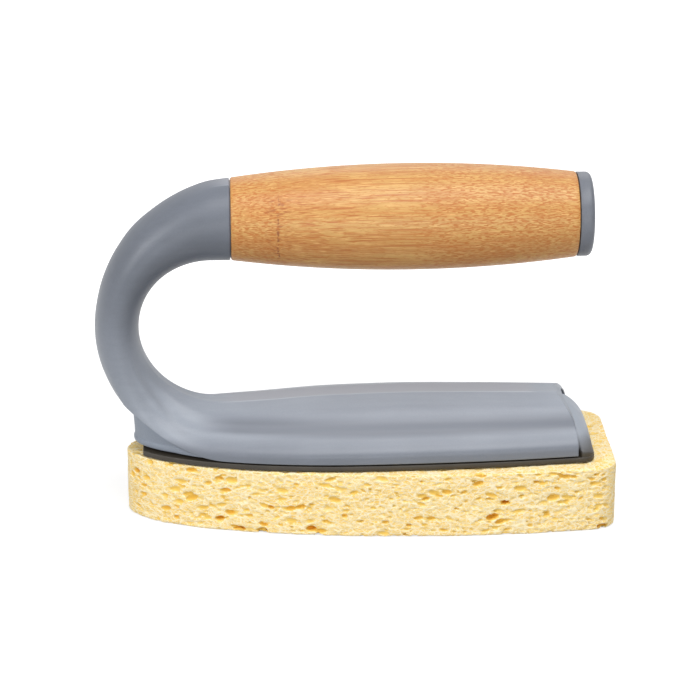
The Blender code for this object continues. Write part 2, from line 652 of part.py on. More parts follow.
def rail_frame():
    """Closes the handle from below: plate with the rail's slot, heel under the loop, channel and bridges."""
    frame = slab("rail_frame", iron_outline(lambda x: base_half_width(x, FRAME_SETBACK),
                                            NOSE_X + FRAME_SETBACK, WIDEST_X, FRAME_END_X, FLANGE_CORNER),
                 FRAME_BOTTOM, FRAME_TOP, PARTS, FRAME_GREY)

    heel_front = NOSE_X + HEEL_SETBACK
    heel_end = NOSE_X + HEEL_REACH
    edge = [(x, rise(x) - GAP) for x in np.linspace(NOSE_X - GAP, heel_end, 15)]
    edge += [(heel_end, HEEL_BOTTOM), (NOSE_X - GAP, HEEL_BOTTOM)]
    heel = upright_slab("heel", edge, 4 * BASE_HALF_WIDTH, CUTTERS)
    heel_plan = slab("heel_plan", iron_outline(lambda x: base_half_width(x, HEEL_SETBACK), heel_front,
                                               WIDEST_X, FRAME_END_X, FLANGE_CORNER),
                     RIM_Z - FAR, RIM_Z + FAR, CUTTERS)
    combine(heel, heel_plan, "INTERSECT")
    join(frame, heel)

    slot_start = RAIL_START_X - GAP
    wall_start = slot_start - CHANNEL_WALL
    sunk = FRAME_TOP - FRAME_PLATE / 2
    channel = block("channel", (wall_start, -CHANNEL_OUTSIDE, sunk),
                    (FRAME_END_X - GAP, CHANNEL_OUTSIDE, BRIDGE_TOP), CUTTERS)
    cut(channel, block("channel_inside", (slot_start, -CHANNEL_HALF, sunk - FAR),
                       (FRAME_END_X + FAR, CHANNEL_HALF, BRIDGE_TOP + FAR), CUTTERS))
    bridges = [SPRING_MID_X - SPRING_HALF + GAP, SPRING_MID_X + SPRING_HALF,
               (SPRING_MID_X + SPRING_HALF + FRAME_END_X) / 2, FRAME_END_X - 2 * BRIDGE_HALF]
    inside_wall = CHANNEL_HALF + CHANNEL_WALL / 2
    for x in bridges:
        join(channel, block("bridge", (x - BRIDGE_HALF, -inside_wall, BRIDGE_BOTTOM),
                            (x + BRIDGE_HALF, inside_wall, BRIDGE_TOP - GAP), CUTTERS))
    join(frame, channel)
    for name, x, y in screw_places():
        join(frame, pin("pad_" + name, PAD_RADIUS, (x, y, sunk), (x, y, PAD_TOP), CUTTERS))
    slot = STEM_HALF + RAIL_PLAY
    cut(frame, block("stem_slot", (slot_start - GAP, -slot, FRAME_BOTTOM - FAR),
                     (FRAME_END_X + FAR, slot, RAIL_BOTTOM), CUTTERS))

    for name, x, y in screw_places():
        screw_hole(frame, name, x, y, FRAME_BOTTOM, SCREW_RADIUS)
    screw_hole(frame, "heel", HEEL_SCREW_X, 0, HEEL_BOTTOM, HEEL_SCREW_RADIUS)
    return frame


def screw_hole(frame, name, x, y, low, radius):
    """A through hole, and a counterbore from below for the head."""
    floor = low + SCREW_HEAD_HEIGHT + GAP
    cut(frame, pin("head_room_" + name, SCREW_HEAD_RADIUS + GAP, (x, y, low - FAR), (x, y, floor), CUTTERS),
        pin("shank_room_" + name, radius + GAP, (x, y, low - FAR), (x, y, RIM_Z + FAR), CUTTERS, sides=16))


def screw(name, x, y, low, radius, length):
    """A pan head screw pointing up, its head's face at the level low."""
    top = SCREW_HEAD_HEIGHT + length
    edge = SCREW_HEAD_HEIGHT / 2
    outline = [(0, top), (radius / 2, top), (radius, top - 2 * radius), (radius, SCREW_HEAD_HEIGHT),
               (SCREW_HEAD_RADIUS, SCREW_HEAD_HEIGHT), (SCREW_HEAD_RADIUS, edge)]
    outline += [(SCREW_HEAD_RADIUS - edge * (1 - math.cos(turn)), edge - edge * math.sin(turn))
                for turn in (math.pi / 4, math.pi / 2)]
    outline += [(0, 0)]
    turned(name, outline, (x, y, low), (0, 0, 0), PARTS, STEEL, 16)


def screws():
    for name, x, y in screw_places():
        screw("rail_screw_" + name, x, y, FRAME_BOTTOM, SCREW_RADIUS, SCREW_LENGTH)
    screw("heel_screw", HEEL_SCREW_X, 0, HEEL_BOTTOM, HEEL_SCREW_RADIUS, HEEL_SCREW_LENGTH)


def detent_spring():
    """A leaf under two bridges, bowed down into the T-rail's notch."""
    low = RAIL_TOP - NOTCH_DEPTH + GAP
    high = BRIDGE_BOTTOM - GAP - SPRING_GAUGE
    shares = np.linspace(-1, 1, 17)
    under = [(SPRING_MID_X + SPRING_HALF * share, low + (high - low) * abs(share) ** 1.3) for share in shares]
    over = [(x, z + SPRING_GAUGE) for x, z in reversed(under)]
    return upright_slab("detent_spring", under + over, SPRING_WIDTH, PARTS, SPRING_STEEL)


def head_plate():
    """Plate over the sponge, T-rail that runs in the channel, and the plug that closes the shell's end."""
    flange = slab("head_plate", iron_outline(base_half_width, NOSE_X + FLANGE_FRONT, WIDEST_X, HEAD_END_X,
                                             FLANGE_CORNER),
                  FLANGE_TOP - FLANGE_THICKNESS, FLANGE_TOP, PARTS, PLATE_GREY)
    sunk = FLANGE_TOP - FLANGE_THICKNESS / 2
    rail_end = PLUG_ROOT_X + WALL / 2
    stem = block("stem", (RAIL_START_X, -STEM_HALF, sunk), (rail_end, STEM_HALF, RAIL_TOP - GAP), CUTTERS)
    rail = block("rail", (RAIL_START_X, -RAIL_HALF, RAIL_BOTTOM), (rail_end, RAIL_HALF, RAIL_TOP), CUTTERS)
    plug = loft("plug", [plug_ring(x, WALL + PLUG_GAP) for x in plug_places()], CUTTERS)
    join(flange, stem, rail, plug)
    cut(flange, block("notch", (SPRING_MID_X - NOTCH_HALF, -RAIL_HALF - FAR, RAIL_TOP - NOTCH_DEPTH),
                      (SPRING_MID_X + NOTCH_HALF, RAIL_HALF + FAR, RAIL_TOP + FAR), CUTTERS))
    return flange


def sponge():
    body = slab("sponge", iron_outline(sponge_half_width, SPONGE_FRONT_X, SPONGE_WIDEST_X, SPONGE_END_X,
                                       SPONGE_CORNER), 0.0, SPONGE_THICKNESS, PARTS, CELLULOSE)
    edge = body.modifiers.new("soft_edges", "BEVEL")
    edge.width = SPONGE_EDGE
    edge.segments = 2
    edge.limit_method = "ANGLE"
    edge.angle_limit = math.radians(40)
    return body


handle_body()
grip()
end_cap()
grip_hardware()
rail_frame()
screws()
detent_spring()

# The head slides along X as one body: its parent stands on the slide's axis, at the rail's front
head = bpy.data.objects.new("head_slide", None)
head.location = (RAIL_START_X, 0, RAIL_TOP)
PARTS.objects.link(head)
for piece in (head_plate(), sponge()):
    piece.parent = head
    piece.location = piece.location - head.location
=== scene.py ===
import math

import bmesh
import bpy
import numpy as np
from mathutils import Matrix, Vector


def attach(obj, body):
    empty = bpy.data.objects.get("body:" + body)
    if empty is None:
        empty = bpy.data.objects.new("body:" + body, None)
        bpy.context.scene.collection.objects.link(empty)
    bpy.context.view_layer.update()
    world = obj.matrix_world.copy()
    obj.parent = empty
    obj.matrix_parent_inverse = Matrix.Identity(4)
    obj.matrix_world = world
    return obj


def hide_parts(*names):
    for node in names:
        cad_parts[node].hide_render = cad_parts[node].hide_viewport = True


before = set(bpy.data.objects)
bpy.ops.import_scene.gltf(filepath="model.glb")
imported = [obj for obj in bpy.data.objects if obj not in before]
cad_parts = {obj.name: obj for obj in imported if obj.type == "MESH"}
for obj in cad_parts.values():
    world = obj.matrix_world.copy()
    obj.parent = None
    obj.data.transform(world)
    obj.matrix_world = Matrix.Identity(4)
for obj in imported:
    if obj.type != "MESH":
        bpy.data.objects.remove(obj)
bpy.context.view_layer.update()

# The model is in metres: X runs along the grip, Z is up, and the brush is symmetric about Y = 0
MM = 0.001


# View: a long lens a metre away, a little above the brush and almost square to its side, over a plain
# white floor. A large soft lamp hangs above, with weaker ones in front, at the left and behind.
VIEW_TILT = math.radians(20.2)
VIEW_TURN = math.radians(-2.8)
AIM = Vector((-1.2, 0, 61.6)) * MM
LENS = 138.65

forward = Vector((-math.sin(VIEW_TURN) * math.cos(VIEW_TILT), math.cos(VIEW_TURN) * math.cos(VIEW_TILT),
                  -math.sin(VIEW_TILT)))
camera = bpy.data.objects.new("camera", bpy.data.cameras.new("camera"))
camera.data.lens = LENS
camera.data.sensor_width = 36
camera.location = AIM - forward
camera.rotation_euler = forward.to_track_quat("-Z", "Y").to_euler()
bpy.context.scene.collection.objects.link(camera)
bpy.context.scene.camera = camera
bpy.context.scene.view_settings.view_transform = "Standard"


class Value:
    """One socket in a material. Arithmetic on it adds Math nodes, and node() adds any other node."""

    def __init__(self, tree, socket=None):
        self.tree = tree
        self.socket = socket

    def node(self, kind, settings, sockets, out=0):
        """A new node of that type: its settings are made first, then its sockets' values or links."""
        made = self.tree.nodes.new(kind)
        for name, setting in settings.items():
            if name == "stops":
                ramp = made.color_ramp
                while len(ramp.elements) < len(setting):
                    ramp.elements.new(0.5)
                for element, (place, colour) in zip(ramp.elements, setting):
                    element.position = place
                    element.color = (*colour, 1.0)
            else:
                setattr(made, name, setting)
        for name, value in sockets.items():
            if isinstance(value, Value):
                self.tree.links.new(value.socket, made.inputs[name])
            else:
                made.inputs[name].default_value = value
        return Value(self.tree, made.outputs[out])

    def maths(self, operation, *terms):
        """A Math node of that operation on the terms."""
        return self.node("ShaderNodeMath", {"operation": operation}, dict(enumerate(terms)))

    def __add__(self, other):
        return self.maths("ADD", self, other)

    def __radd__(self, other):
        return self.maths("ADD", other, self)

    def __sub__(self, other):
        return self.maths("SUBTRACT", self, other)

    def __rsub__(self, other):
        return self.maths("SUBTRACT", other, self)

    def __mul__(self, other):
        return self.maths("MULTIPLY", self, other)

    def __rmul__(self, other):
        return self.maths("MULTIPLY", other, self)

    def __abs__(self):
        return self.maths("ABSOLUTE", self)

    def most(self, other):
        """The larger of the two values."""
        return self.maths("MAXIMUM", self, other)

    def step(self, low, high):
        """0 at low and 1 at high, with a smooth step between them; high may be the lower."""
        settings = {"interpolation_type": "SMOOTHSTEP", "clamp": True}
        return self.node("ShaderNodeMapRange", settings, {"Value": self, "From Min": low, "From Max": high})

    def blend(self, first, second):
        """The first colour where this value is 0, and the second where it is 1."""
        return self.node("ShaderNodeMix", {"data_type": "RGBA"}, {0: self, 6: first, 7: second}, 2)


def new_finish(name, **fixed):
    """A material around one Principled BSDF with those numbers on its sockets, and its place: the
    object's own coordinates, which all its patterns are worked out from."""
    material = bpy.data.materials.new(name)
    material.use_nodes = True
    for socket, number in fixed.items():
        material.node_tree.nodes["Principled BSDF"].inputs[socket.replace("_", " ")].default_value = number
    return material, Value(material.node_tree).node("ShaderNodeTexCoord", {}, {}, "Object")


def feed(**sockets):
    """Links values to those sockets of their material's Principled BSDF."""
    for name, value in sockets.items():
        shader = value.tree.nodes["Principled BSDF"]
        value.tree.links.new(value.socket, shader.inputs[name.replace("_", " ")])


def linear(red, green, blue):
    """A colour given in screen values from 0 to 255, as the linear values that shaders take."""
    parts = np.array([red, green, blue]) / 255
    return tuple(np.where(parts < 0.04045, parts / 12.92, ((parts + 0.055) / 1.055) ** 2.4)) + (1.0,)


def seen(tree):
    """1 for the rays that the camera, metal and glass see by, and 0 for those that light things."""
    rays = tree.nodes.new("ShaderNodeLightPath")
    kinds = ("Is Camera Ray", "Is Glossy Ray", "Is Transmission Ray")
    camera_ray, mirror_ray, glass_ray = (Value(tree, rays.outputs[kind]) for kind in kinds)
    return camera_ray.most(mirror_ray.most(glass_ray))


floor = bpy.data.objects.new("floor", bpy.data.meshes.new("floor"))
corners = [(-6, -6, -0.1 * MM), (6, -6, -0.1 * MM), (6, 6, -0.1 * MM), (-6, 6, -0.1 * MM)]
floor.data.from_pydata(corners, [], [(0, 1, 2, 3)])

# The floor glows a plain white to the camera, less so near the brush, where its shadow has to show
floor_white, place = new_finish("floor_white", Base_Color=(0.42, 0.42, 0.42, 1), Roughness=0.9,
                                Specular_IOR_Level=0.1)
near = place.node("ShaderNodeVectorMath", {"operation": "LENGTH"}, {0: place}, 1)
strength = seen(place.tree) * (0.66 + 0.34 * near.step(0.12, 0.34))
glow = place.node("ShaderNodeEmission", {}, {"Color": (1, 1, 1, 1), "Strength": strength})
paint = Value(place.tree, place.tree.nodes["Principled BSDF"].outputs[0])
total = place.node("ShaderNodeAddShader", {}, {0: glow, 1: paint})
place.tree.links.new(total.socket, place.tree.nodes["Material Output"].inputs["Surface"])
floor.data.materials.append(floor_white)
bpy.context.scene.collection.objects.link(floor)


def softbox(name, place, aim, width, height, power):
    """A rectangular studio lamp that faces the aim point."""
    lamp = bpy.data.lights.new(name, "AREA")
    lamp.shape = "RECTANGLE"
    lamp.size = width
    lamp.size_y = height
    lamp.energy = power
    box = bpy.data.objects.new(name, lamp)
    box.location = place
    box.rotation_euler = (Vector(aim) - Vector(place)).to_track_quat("-Z", "Y").to_euler()
    bpy.context.scene.collection.objects.link(box)


softbox("lamp_above", (0.20, -0.42, 1.12), (0, 0, 0.05), 1.2, 0.7, 11.0)
softbox("lamp_back", (0.10, 1.00, 0.90), (0, 0, 0.05), 1.2, 0.5, 2.5)
softbox("lamp_left", (-0.95, -0.62, 0.62), (0, 0, 0.06), 0.25, 0.5, 5.5)
softbox("lamp_front", (0.10, -1.60, 0.22), (0, 0, 0.03), 1.2, 0.4, 6.0)

world = bpy.data.worlds.new("studio")
world.use_nodes = True
bpy.context.scene.world = world
backdrop = world.node_tree.nodes["Background"]
backdrop.inputs["Color"].default_value = (1, 1, 1, 1)
world.node_tree.links.new((seen(world.node_tree) * 0.65 + 0.35).socket, backdrop.inputs["Strength"])


# Handle: one injection moulding of slate grey polypropylene. A round neck at the grip runs into a flat
# oval loop, which widens into the hollow iron-shaped base with a dished strip along its crown and a
# flute above its lip. Its open end takes the sponge head, and four screw posts hang inside it.
GAP = 0.3 * MM                  # between pieces that touch
RIM_Z = 27.3 * MM               # the base's lower edge
WIDEST_X = 2.0 * MM             # where the base is widest
END_X = 81.9 * MM               # the base's open end, at its foot
LOOP_X = -51.7 * MM             # the centre that the loop bends round
LOOP_Z = 70.9 * MM
GRIP_Z = 113.2 * MM             # the grip's axis
SEAM_X = -45.0 * MM             # the neck's flat face against the grip
CAVITY_X = -48.5 * MM           # where the base becomes hollow
BASE_HALF = 29.1 * MM
NOSE_LENGTH = 85.5 * MM
TAIL_CURVE = 150.0 * MM
NECK_RADIUS = 15.0 * MM
WALL = 2.4 * MM
POCKET_INSET = 2.7 * MM         # the pocket that takes the rail frame
POCKET_TOP = 30.3 * MM
EDGE = 0.45 * MM                # radius of the moulding's outer edges
INNER_EDGE = 0.35 * MM


def through(at, knots, values):
    """Cubic pieces through the values at the knots. Each knot's slope is the harmonic mean of its two
    neighbours' slopes, or 0 where they differ in sign, so no piece overshoots."""
    knots = np.asarray(knots, float)
    values = np.asarray(values, float)
    spans = np.diff(knots)
    slopes = np.diff(values) / spans
    steep = np.concatenate([slopes[:1], np.zeros(len(knots) - 2), slopes[-1:]])
    same_way = slopes[:-1] * slopes[1:] > 0
    total = np.where(same_way, slopes[:-1] + slopes[1:], 1.0)
    steep[1:-1] = np.where(same_way, 2 * slopes[:-1] * slopes[1:] / total, 0.0)
    i = np.clip(np.searchsorted(knots, at) - 1, 0, len(spans) - 1)
    t = np.clip((at - knots[i]) / spans[i], 0, 1)
    start = (1 + 2 * t) * (1 - t) ** 2 * values[i] + t * (1 - t) ** 2 * spans[i] * steep[i]
    stop = t * t * (3 - 2 * t) * values[i + 1] - t * t * (1 - t) * spans[i] * steep[i + 1]
    return start + stop


def eased(value, start, stop):
    """0 before start and 1 after stop, with 3t^2 - 2t^3 between."""
    t = np.clip((value - start) / (stop - start), 0, 1)
    return t * t * (3 - 2 * t)


NECK = 90 - (SEAM_X - LOOP_X) / MM      # the seam's station


def half_plan(x, inset=0.0):
    """Half the base's width less the inset: a quarter ellipse from the nose to the widest place, then
    a flatter one."""
    front = np.clip((WIDEST_X - x) / (NOSE_LENGTH - inset), 0, 1)
    rear = np.clip((x - WIDEST_X) / TAIL_CURVE, 0, 1)
    nose = (BASE_HALF - inset) * np.sqrt(1 - front ** 2)
    tail = BASE_HALF * np.sqrt(1 - rear ** 2) - inset
    return np.where(x < WIDEST_X, nose, tail)


def crown(x):
    """Height of the crown above the rim, through six heights along the base."""
    places = np.array((0, 16.7, 42.7, 71.7, 95.7, 129.7)) * MM
    return through(x - LOOP_X, places, np.array((16.3, 16.9, 18.5, 19.1, 18.8, 18.1)) * MM)


def foot_level(x):
    """Level of the lower edge: the rim, and before it a parabola that rises to the nose."""
    share = np.maximum(LOOP_X + 3.7 * MM - x, 0) / (34.5 * MM)
    return RIM_Z + 15.9 * MM * share ** 2


def foot_slope(x):
    """The foot level's rise per metre of x."""
    return (foot_level(x + 1e-6) - foot_level(x - 1e-6)) / 2e-6


# The base's half section: shares of its half width and height at turns from the crown (0) to the
# rim (0.7). A point beyond each end lets the smoothing run through it
SECTION_TURNS = (-0.04, 0.08, 0.20, 0.315, 0.405, 0.52, 0.575, 0.62, 0.70, 0.80)
SECTION_WIDTHS = (-0.130, 0.160, 0.450, 0.638, 0.724, 0.945, 1.0, 1.0, 1.0, 1.0)
SECTION_HEIGHTS = (1.141, 1.0, 0.859, 0.664, 0.478, 0.300, 0.205, 0.120, 0.0, -0.150)
STRIP_TURN = 0.08
STRIP_SHARE = 0.160
STRIP_DISH = 0.013
RIM_TURN = 0.70

bell = np.exp(-(np.linspace(-0.06, 0.06, 121) / 0.027) ** 2 / 2)
fine_turns = np.linspace(-0.04, 0.80, 841)
smooth_turns = fine_turns[60:-60]
smooth_widths, smooth_heights = (
    np.convolve(np.interp(fine_turns, SECTION_TURNS, shares), bell / bell.sum(), "valid")
    for shares in (SECTION_WIDTHS, SECTION_HEIGHTS))


def base_section(turn):
    """The base's half section from the crown (0) by the rim (0.7) to the middle below (1): shares of
    the half width and of the depth under the crown. It is a line through a few points, smoothed by a
    bell curve. The strip on the crown is a shallow parabola."""
    across = np.interp(turn, smooth_turns, smooth_widths)
    depth = 1 - np.interp(turn, smooth_turns, smooth_heights)
    strip = turn / STRIP_TURN
    across = np.where(strip < 1, STRIP_SHARE * strip, across)
    depth = np.where(strip < 1, STRIP_DISH * (1 - strip ** 2), depth)
    below = turn > RIM_TURN
    across = np.where(below, (1 - turn) / (1 - RIM_TURN), across)
    return across, np.where(below, 1.0, depth)


def skin(station, turn):
    """The moulding's outer surface. Stations from 90 to 270 are degrees round the loop. Before 90 and
    after 270 they are millimetres along the straight neck and base. Round the loop the half section is
    a mix of an oval, (sin, 1 - cos), and the base's section, set off from the loop's inner radius. The
    base's flute runs out up the loop: a bell curve of turns sunk along the oval's normal, and a
    narrower one raised beside it as its ridge."""
    station, turn = np.broadcast_arrays(np.asarray(station, float), np.asarray(turn, float))
    degrees = np.clip(station, 90, 270)
    thickness = through(
        np.clip(station, NECK, 270),
        (NECK, 85, 90, 98, 106, 116, 127, 137, 153, 167, 182, 200, 216, 227, 245, 270),
        np.array((30.0, 29.85, 29.15, 27.15, 25.1, 22.8, 20.9, 19.1,
                  17.2, 16.3, 16.1, 16.2, 16.7, 17.8, 17.6, 16.3)) * MM)
    half_width = through(degrees, (90, 135, 180, 205, 222, 232, 240, 250, 260, 270),
                         np.array((15.0, 14.2, 13.0, 13.0, 13.2, 14.0, 15.4, 18.0, 20.5,
                                   float(half_plan(LOOP_X)) / MM)) * MM)
    radius = through(degrees, (90, 135, 180, 235, 270), np.array((27.3, 27.9, 27.4, 26.8, 27.3)) * MM)
    mix = eased(degrees, 185, 258)
    base_across, base_depth = base_section(turn)
    oval_across = np.sin(math.pi * turn)
    oval_depth = (1 - np.cos(math.pi * turn)) / 2
    across = half_width * (oval_across + mix * (base_across - oval_across))
    radius = radius + thickness * (oval_depth + mix * (base_depth - oval_depth))
    centre = through(degrees, (190, 225, 240, 251, 262), (0.250, 0.258, 0.300, 0.370, 0.385))
    sink = 0.60 * MM * eased(degrees, 186, 216) * (1 - eased(degrees, 230, 262))
    ridge = np.exp(-((turn - centre - 0.090) / 0.034) ** 2)
    groove = sink * (np.exp(-((turn - centre) / 0.065) ** 2) - 0.60 * ridge)
    across = across - groove * oval_across
    radius = radius + groove * np.cos(math.pi * turn)
    angle = np.radians(degrees)
    x = LOOP_X + radius * np.cos(angle) + np.maximum(90 - station, 0) * MM
    z = LOOP_Z + radius * np.sin(angle)
    along = LOOP_X + np.maximum(station - 270, 0) * MM
    base = station > 270
    x = np.where(base, along, x)
    across = np.where(base, half_plan(along) * base_across, across)
    z = np.where(base, RIM_Z + crown(along) * (1 - base_depth), z)
    return np.stack([x, across, z], -1)


def unit(vectors):
    """The vectors divided by their lengths."""
    return vectors / np.maximum(np.linalg.norm(vectors, axis=-1, keepdims=True), 1e-12)


def end_place(z):
    """X of the base's curved end at a level: upright at the rim, then falling back as a power."""
    share = np.clip((z - RIM_Z - 4.7 * MM) / (18.1 * MM - 4.7 * MM), 0, 1)
    return END_X - 6.2 * MM * share ** 2.4


def cut_turn(station, level):
    """The turn at which each station's section comes down to that height above the foot level."""
    turns = np.linspace(0.5, 1.0, 1601)
    points = skin(station[:, None], turns[None, :])
    above = points[..., 2] - foot_level(points[..., 0]) - level
    first = np.argmax(above < 0, axis=1)
    row = np.arange(len(station))
    before = np.maximum(first - 1, 0)
    part = above[row, before] / np.maximum(above[row, before] - above[row, first], 1e-12)
    found = turns[before] + np.clip(part, 0, 1) * (turns[1] - turns[0])
    return np.where(first > 0, found, 1.0)


def columns_to(last):
    """Turns of the grid's columns: fixed over the crown and flank, then spread up to the last turn."""
    fixed = np.concatenate([np.linspace(0, 0.08, 5), np.linspace(0.08, 0.60, 48)[1:]])
    spread = 0.60 + (np.asarray(last)[:, None] - 0.60) * np.linspace(0, 1, 15)[1:]
    return np.concatenate([np.broadcast_to(fixed, (len(spread), len(fixed))), spread], 1)


def bezier(start, corner, stop, steps):
    """Points after the start on the curve that leaves towards the corner and ends at the stop."""
    t = np.linspace(0, 1, steps + 1)[1:, None]
    return ((1 - t) ** 2 * start[..., None, :] + 2 * t * (1 - t) * corner[..., None, :]
            + t ** 2 * stop[..., None, :])


def lip(edge, station, turn):
    """Rounds the lower edge. The skin's own direction carries the last point down to the foot level,
    and the level's direction carries it inwards; a Bezier curve joins the two."""
    small = 1e-3
    along = skin(station + small, turn) - skin(station - small, turn)
    round_it = skin(station, turn + small) - skin(station, turn - small)
    normal = unit(np.cross(along, round_it))
    run = np.gradient(edge, axis=0)
    run[0] = (0, 1, 0)
    run = unit(run)
    slope = foot_slope(edge[:, 0])
    down = unit(np.cross(normal, run))
    fall = down[:, 2] - slope * down[:, 0]
    down = np.where(fall[:, None] > 0, -down, down)
    fall = -np.abs(fall)
    height = edge[:, 2] - foot_level(edge[:, 0])
    corner = edge + down * np.minimum(height / np.maximum(-fall, 0.05), 3 * EDGE)[:, None]
    ground = unit(np.stack([-slope, np.zeros(len(slope)), np.ones(len(slope))], -1))
    inward = unit(np.cross(ground, run))
    centre = np.stack([np.maximum(LOOP_X - edge[:, 0], 0), -edge[:, 1], np.zeros(len(slope))], -1)
    inward = np.where((inward * centre).sum(1, keepdims=True) < 0, -inward, inward)
    return bezier(edge, corner, corner + inward * EDGE, 4)


def inner_skin(outer, x):
    """The cavity's surface behind each outer point: set in by the wall along the section's normal,
    never beyond the upright wall, and with folds flattened."""
    run = np.gradient(outer[..., 1], axis=1)
    fall = -np.gradient(outer[..., 2], axis=1)
    length = np.maximum(np.hypot(run, fall), 1e-12)
    across = outer[..., 1] - WALL * fall / length
    level = outer[..., 2] - WALL * run / length
    upright = half_plan(x) - WALL
    across = np.minimum(np.maximum.accumulate(across, axis=1), upright)
    across[:, 0] = 0
    level[:, 0] = outer[:, 0, 2] - WALL
    level = np.minimum.accumulate(np.maximum(level, outer[:, -1:, 2]), axis=1)
    return np.stack([x, across, level], -1)


def grid_faces(shape, first):
    """Corner numbers of the quads between neighbours in a grid of points."""
    corner = first + np.arange(shape[0] * shape[1]).reshape(shape)
    return np.stack([corner[:-1, :-1], corner[1:, :-1], corner[1:, 1:], corner[:-1, 1:]], -1).reshape(-1, 4)


def mesh_of(name, grids, stored=None, weld=2e-6, sharp=38):
    """One mesh of several grids of points, joined where their points meet. Rings left open are filled
    flat, and the faces turned outwards. stored holds numbers to keep on the points, in like grids."""
    points = np.concatenate([grid.reshape(-1, 3) for grid in grids])
    firsts = np.cumsum([0] + [grid.shape[0] * grid.shape[1] for grid in grids])
    faces = np.concatenate([grid_faces(grid.shape[:2], first) for grid, first in zip(grids, firsts)])
    mesh = bpy.data.meshes.new(name)
    mesh.vertices.add(len(points))
    mesh.vertices.foreach_set("co", points.astype(np.float32).ravel())
    mesh.loops.add(faces.size)
    mesh.loops.foreach_set("vertex_index", faces.astype(np.int32).ravel())
    mesh.polygons.add(len(faces))
    mesh.polygons.foreach_set("loop_start", np.arange(0, faces.size, 4, dtype=np.int32))
    mesh.update(calc_edges=True)
    for key, values in (stored or {}).items():
        kept = mesh.attributes.new(key, "FLOAT", "POINT")
        kept.data.foreach_set("value", np.concatenate([part.ravel() for part in values]).astype(np.float32))
    work = bmesh.new()
    work.from_mesh(mesh)
    bmesh.ops.remove_doubles(work, verts=work.verts, dist=weld)
    bmesh.ops.dissolve_degenerate(work, edges=work.edges, dist=weld)
    bmesh.ops.holes_fill(work, edges=work.edges)
    bmesh.ops.recalc_face_normals(work, faces=work.faces)
    work.to_mesh(mesh)
    work.free()
    mesh.shade_smooth()
    mesh.set_sharp_from_angle(angle=math.radians(sharp))
    return mesh


def mirrored(grids):
    """The grids, and the same grids on the other side of Y = 0."""
    return list(grids) + [grid * np.array((1, -1, 1)) for grid in grids]


def add_piece(name, mesh, finish, slot, body, *nodes):
    """Shows a mesh as a piece that rides on a body and stands for CAD nodes."""
    piece = bpy.data.objects.new(name, mesh)
    bpy.context.scene.collection.objects.link(piece)
    mesh.materials.append(finish)
    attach(piece, body)
    if nodes:
        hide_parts(*nodes)
    return piece


def lathe(profile, steps, place, axis="Z"):
    """A profile of (radius, height) points carried round the axis through a place."""
    profile = np.asarray(profile, float)
    angle = np.linspace(0, 2 * math.pi, steps + 1)
    angle[-1] = 0.0
    out = profile[:, :1] * np.cos(angle)
    side = profile[:, :1] * np.sin(angle)
    height = np.broadcast_to(profile[:, 1:2], out.shape)
    order = {"Z": (out, side, height), "X": (height, out, side)}[axis]
    return np.stack(order, -1) + np.asarray(place)


# The loop's outer side comes down to the foot level at one station, where the base's foot starts
LEVEL_ABOVE = 0.8 * EDGE
station_scan = np.linspace(205, 245, 4001)
bottom = skin(station_scan, 1.0)
clear = bottom[:, 2] - foot_level(bottom[:, 0]) - LEVEL_ABOVE
nose_station = float(np.interp(0, -clear, station_scan))

upper = np.concatenate([np.linspace(NECK + EDGE / MM, 90, 10)[:-1], np.linspace(90, nose_station, 120)])
foot = nose_station + (270 - nose_station) * np.linspace(0, 1, 70) ** 2
front = 270 + (CAVITY_X - LOOP_X) / MM * np.linspace(0, 1, 6)[1:]
solid_stations = np.concatenate([foot, front])

upper_skin = skin(upper[:, None], columns_to(np.ones(len(upper))))
solid_turn = np.minimum(cut_turn(solid_stations, LEVEL_ABOVE), RIM_TURN + (solid_stations < 262))
solid_turn[0] = 1.0
solid_skin = skin(solid_stations[:, None], columns_to(solid_turn))
solid_lip = lip(solid_skin[:, -1], solid_stations, solid_turn)


def under_foot(last):
    """The moulding's underside from the lip to the middle: a flat lip, an upright step up into the
    pocket for the frame, and the pocket's ceiling. Where the foot rises above it the step is gone."""
    x = last[:, 0]
    level = foot_level(x)
    ceiling = np.maximum(level, POCKET_TOP)
    wall = np.minimum(np.maximum(half_plan(x, POCKET_INSET), 0), last[:, 1])
    bend = np.minimum(INNER_EDGE, ceiling - level)
    bend = np.minimum(bend, (last[:, 1] - wall) / 2)
    flat = np.stack([x, wall + bend, level], -1)
    turned = bezier(flat, np.stack([x, wall, level], -1), np.stack([x, wall, level + bend], -1), 3)
    up = np.linspace(0, 1, 14)[1:]
    rising = np.stack(np.broadcast_arrays(x[:, None], wall[:, None], (level + bend)[:, None]
                                          + up * (ceiling - level - bend)[:, None]), -1)
    back = 1 - np.linspace(0, 1, 53)[1:]
    over = np.stack(np.broadcast_arrays(x[:, None], back * wall[:, None], ceiling[:, None]), -1)
    return np.concatenate([flat[:, None], turned, rising, over], 1)


solid_under = under_foot(solid_lip[:, -1])

# The hollow part: outer and inner skins share their columns, and each column ends at the curved end
rows = np.linspace(0, 1, 75)
rim_turn = np.full(len(rows), float(solid_turn[-1]))
end_turns = columns_to(rim_turn)
end_points = skin(np.full((len(rows), 1), 270 + (END_X - LOOP_X) / MM), end_turns)
x_end = end_place(end_points[..., 2]) - EDGE
hollow_x = CAVITY_X + (x_end - CAVITY_X) * rows[:, None]
hollow_skin = skin(270 + (hollow_x - LOOP_X) / MM, end_turns)
hollow_lip = lip(hollow_skin[:, -1], 270 + (hollow_x[:, -1] - LOOP_X) / MM, rim_turn)
hollow_lip[0] = solid_lip[-1]
end_inner = inner_skin(end_points, end_points[..., 0])
inner_x = CAVITY_X + (end_place(end_inner[..., 2]) - EDGE - CAVITY_X) * rows[:, None]
inner_points = inner_skin(skin(270 + (inner_x - LOOP_X) / MM, end_turns), inner_x)
wall_foot = inner_points[:, -1]
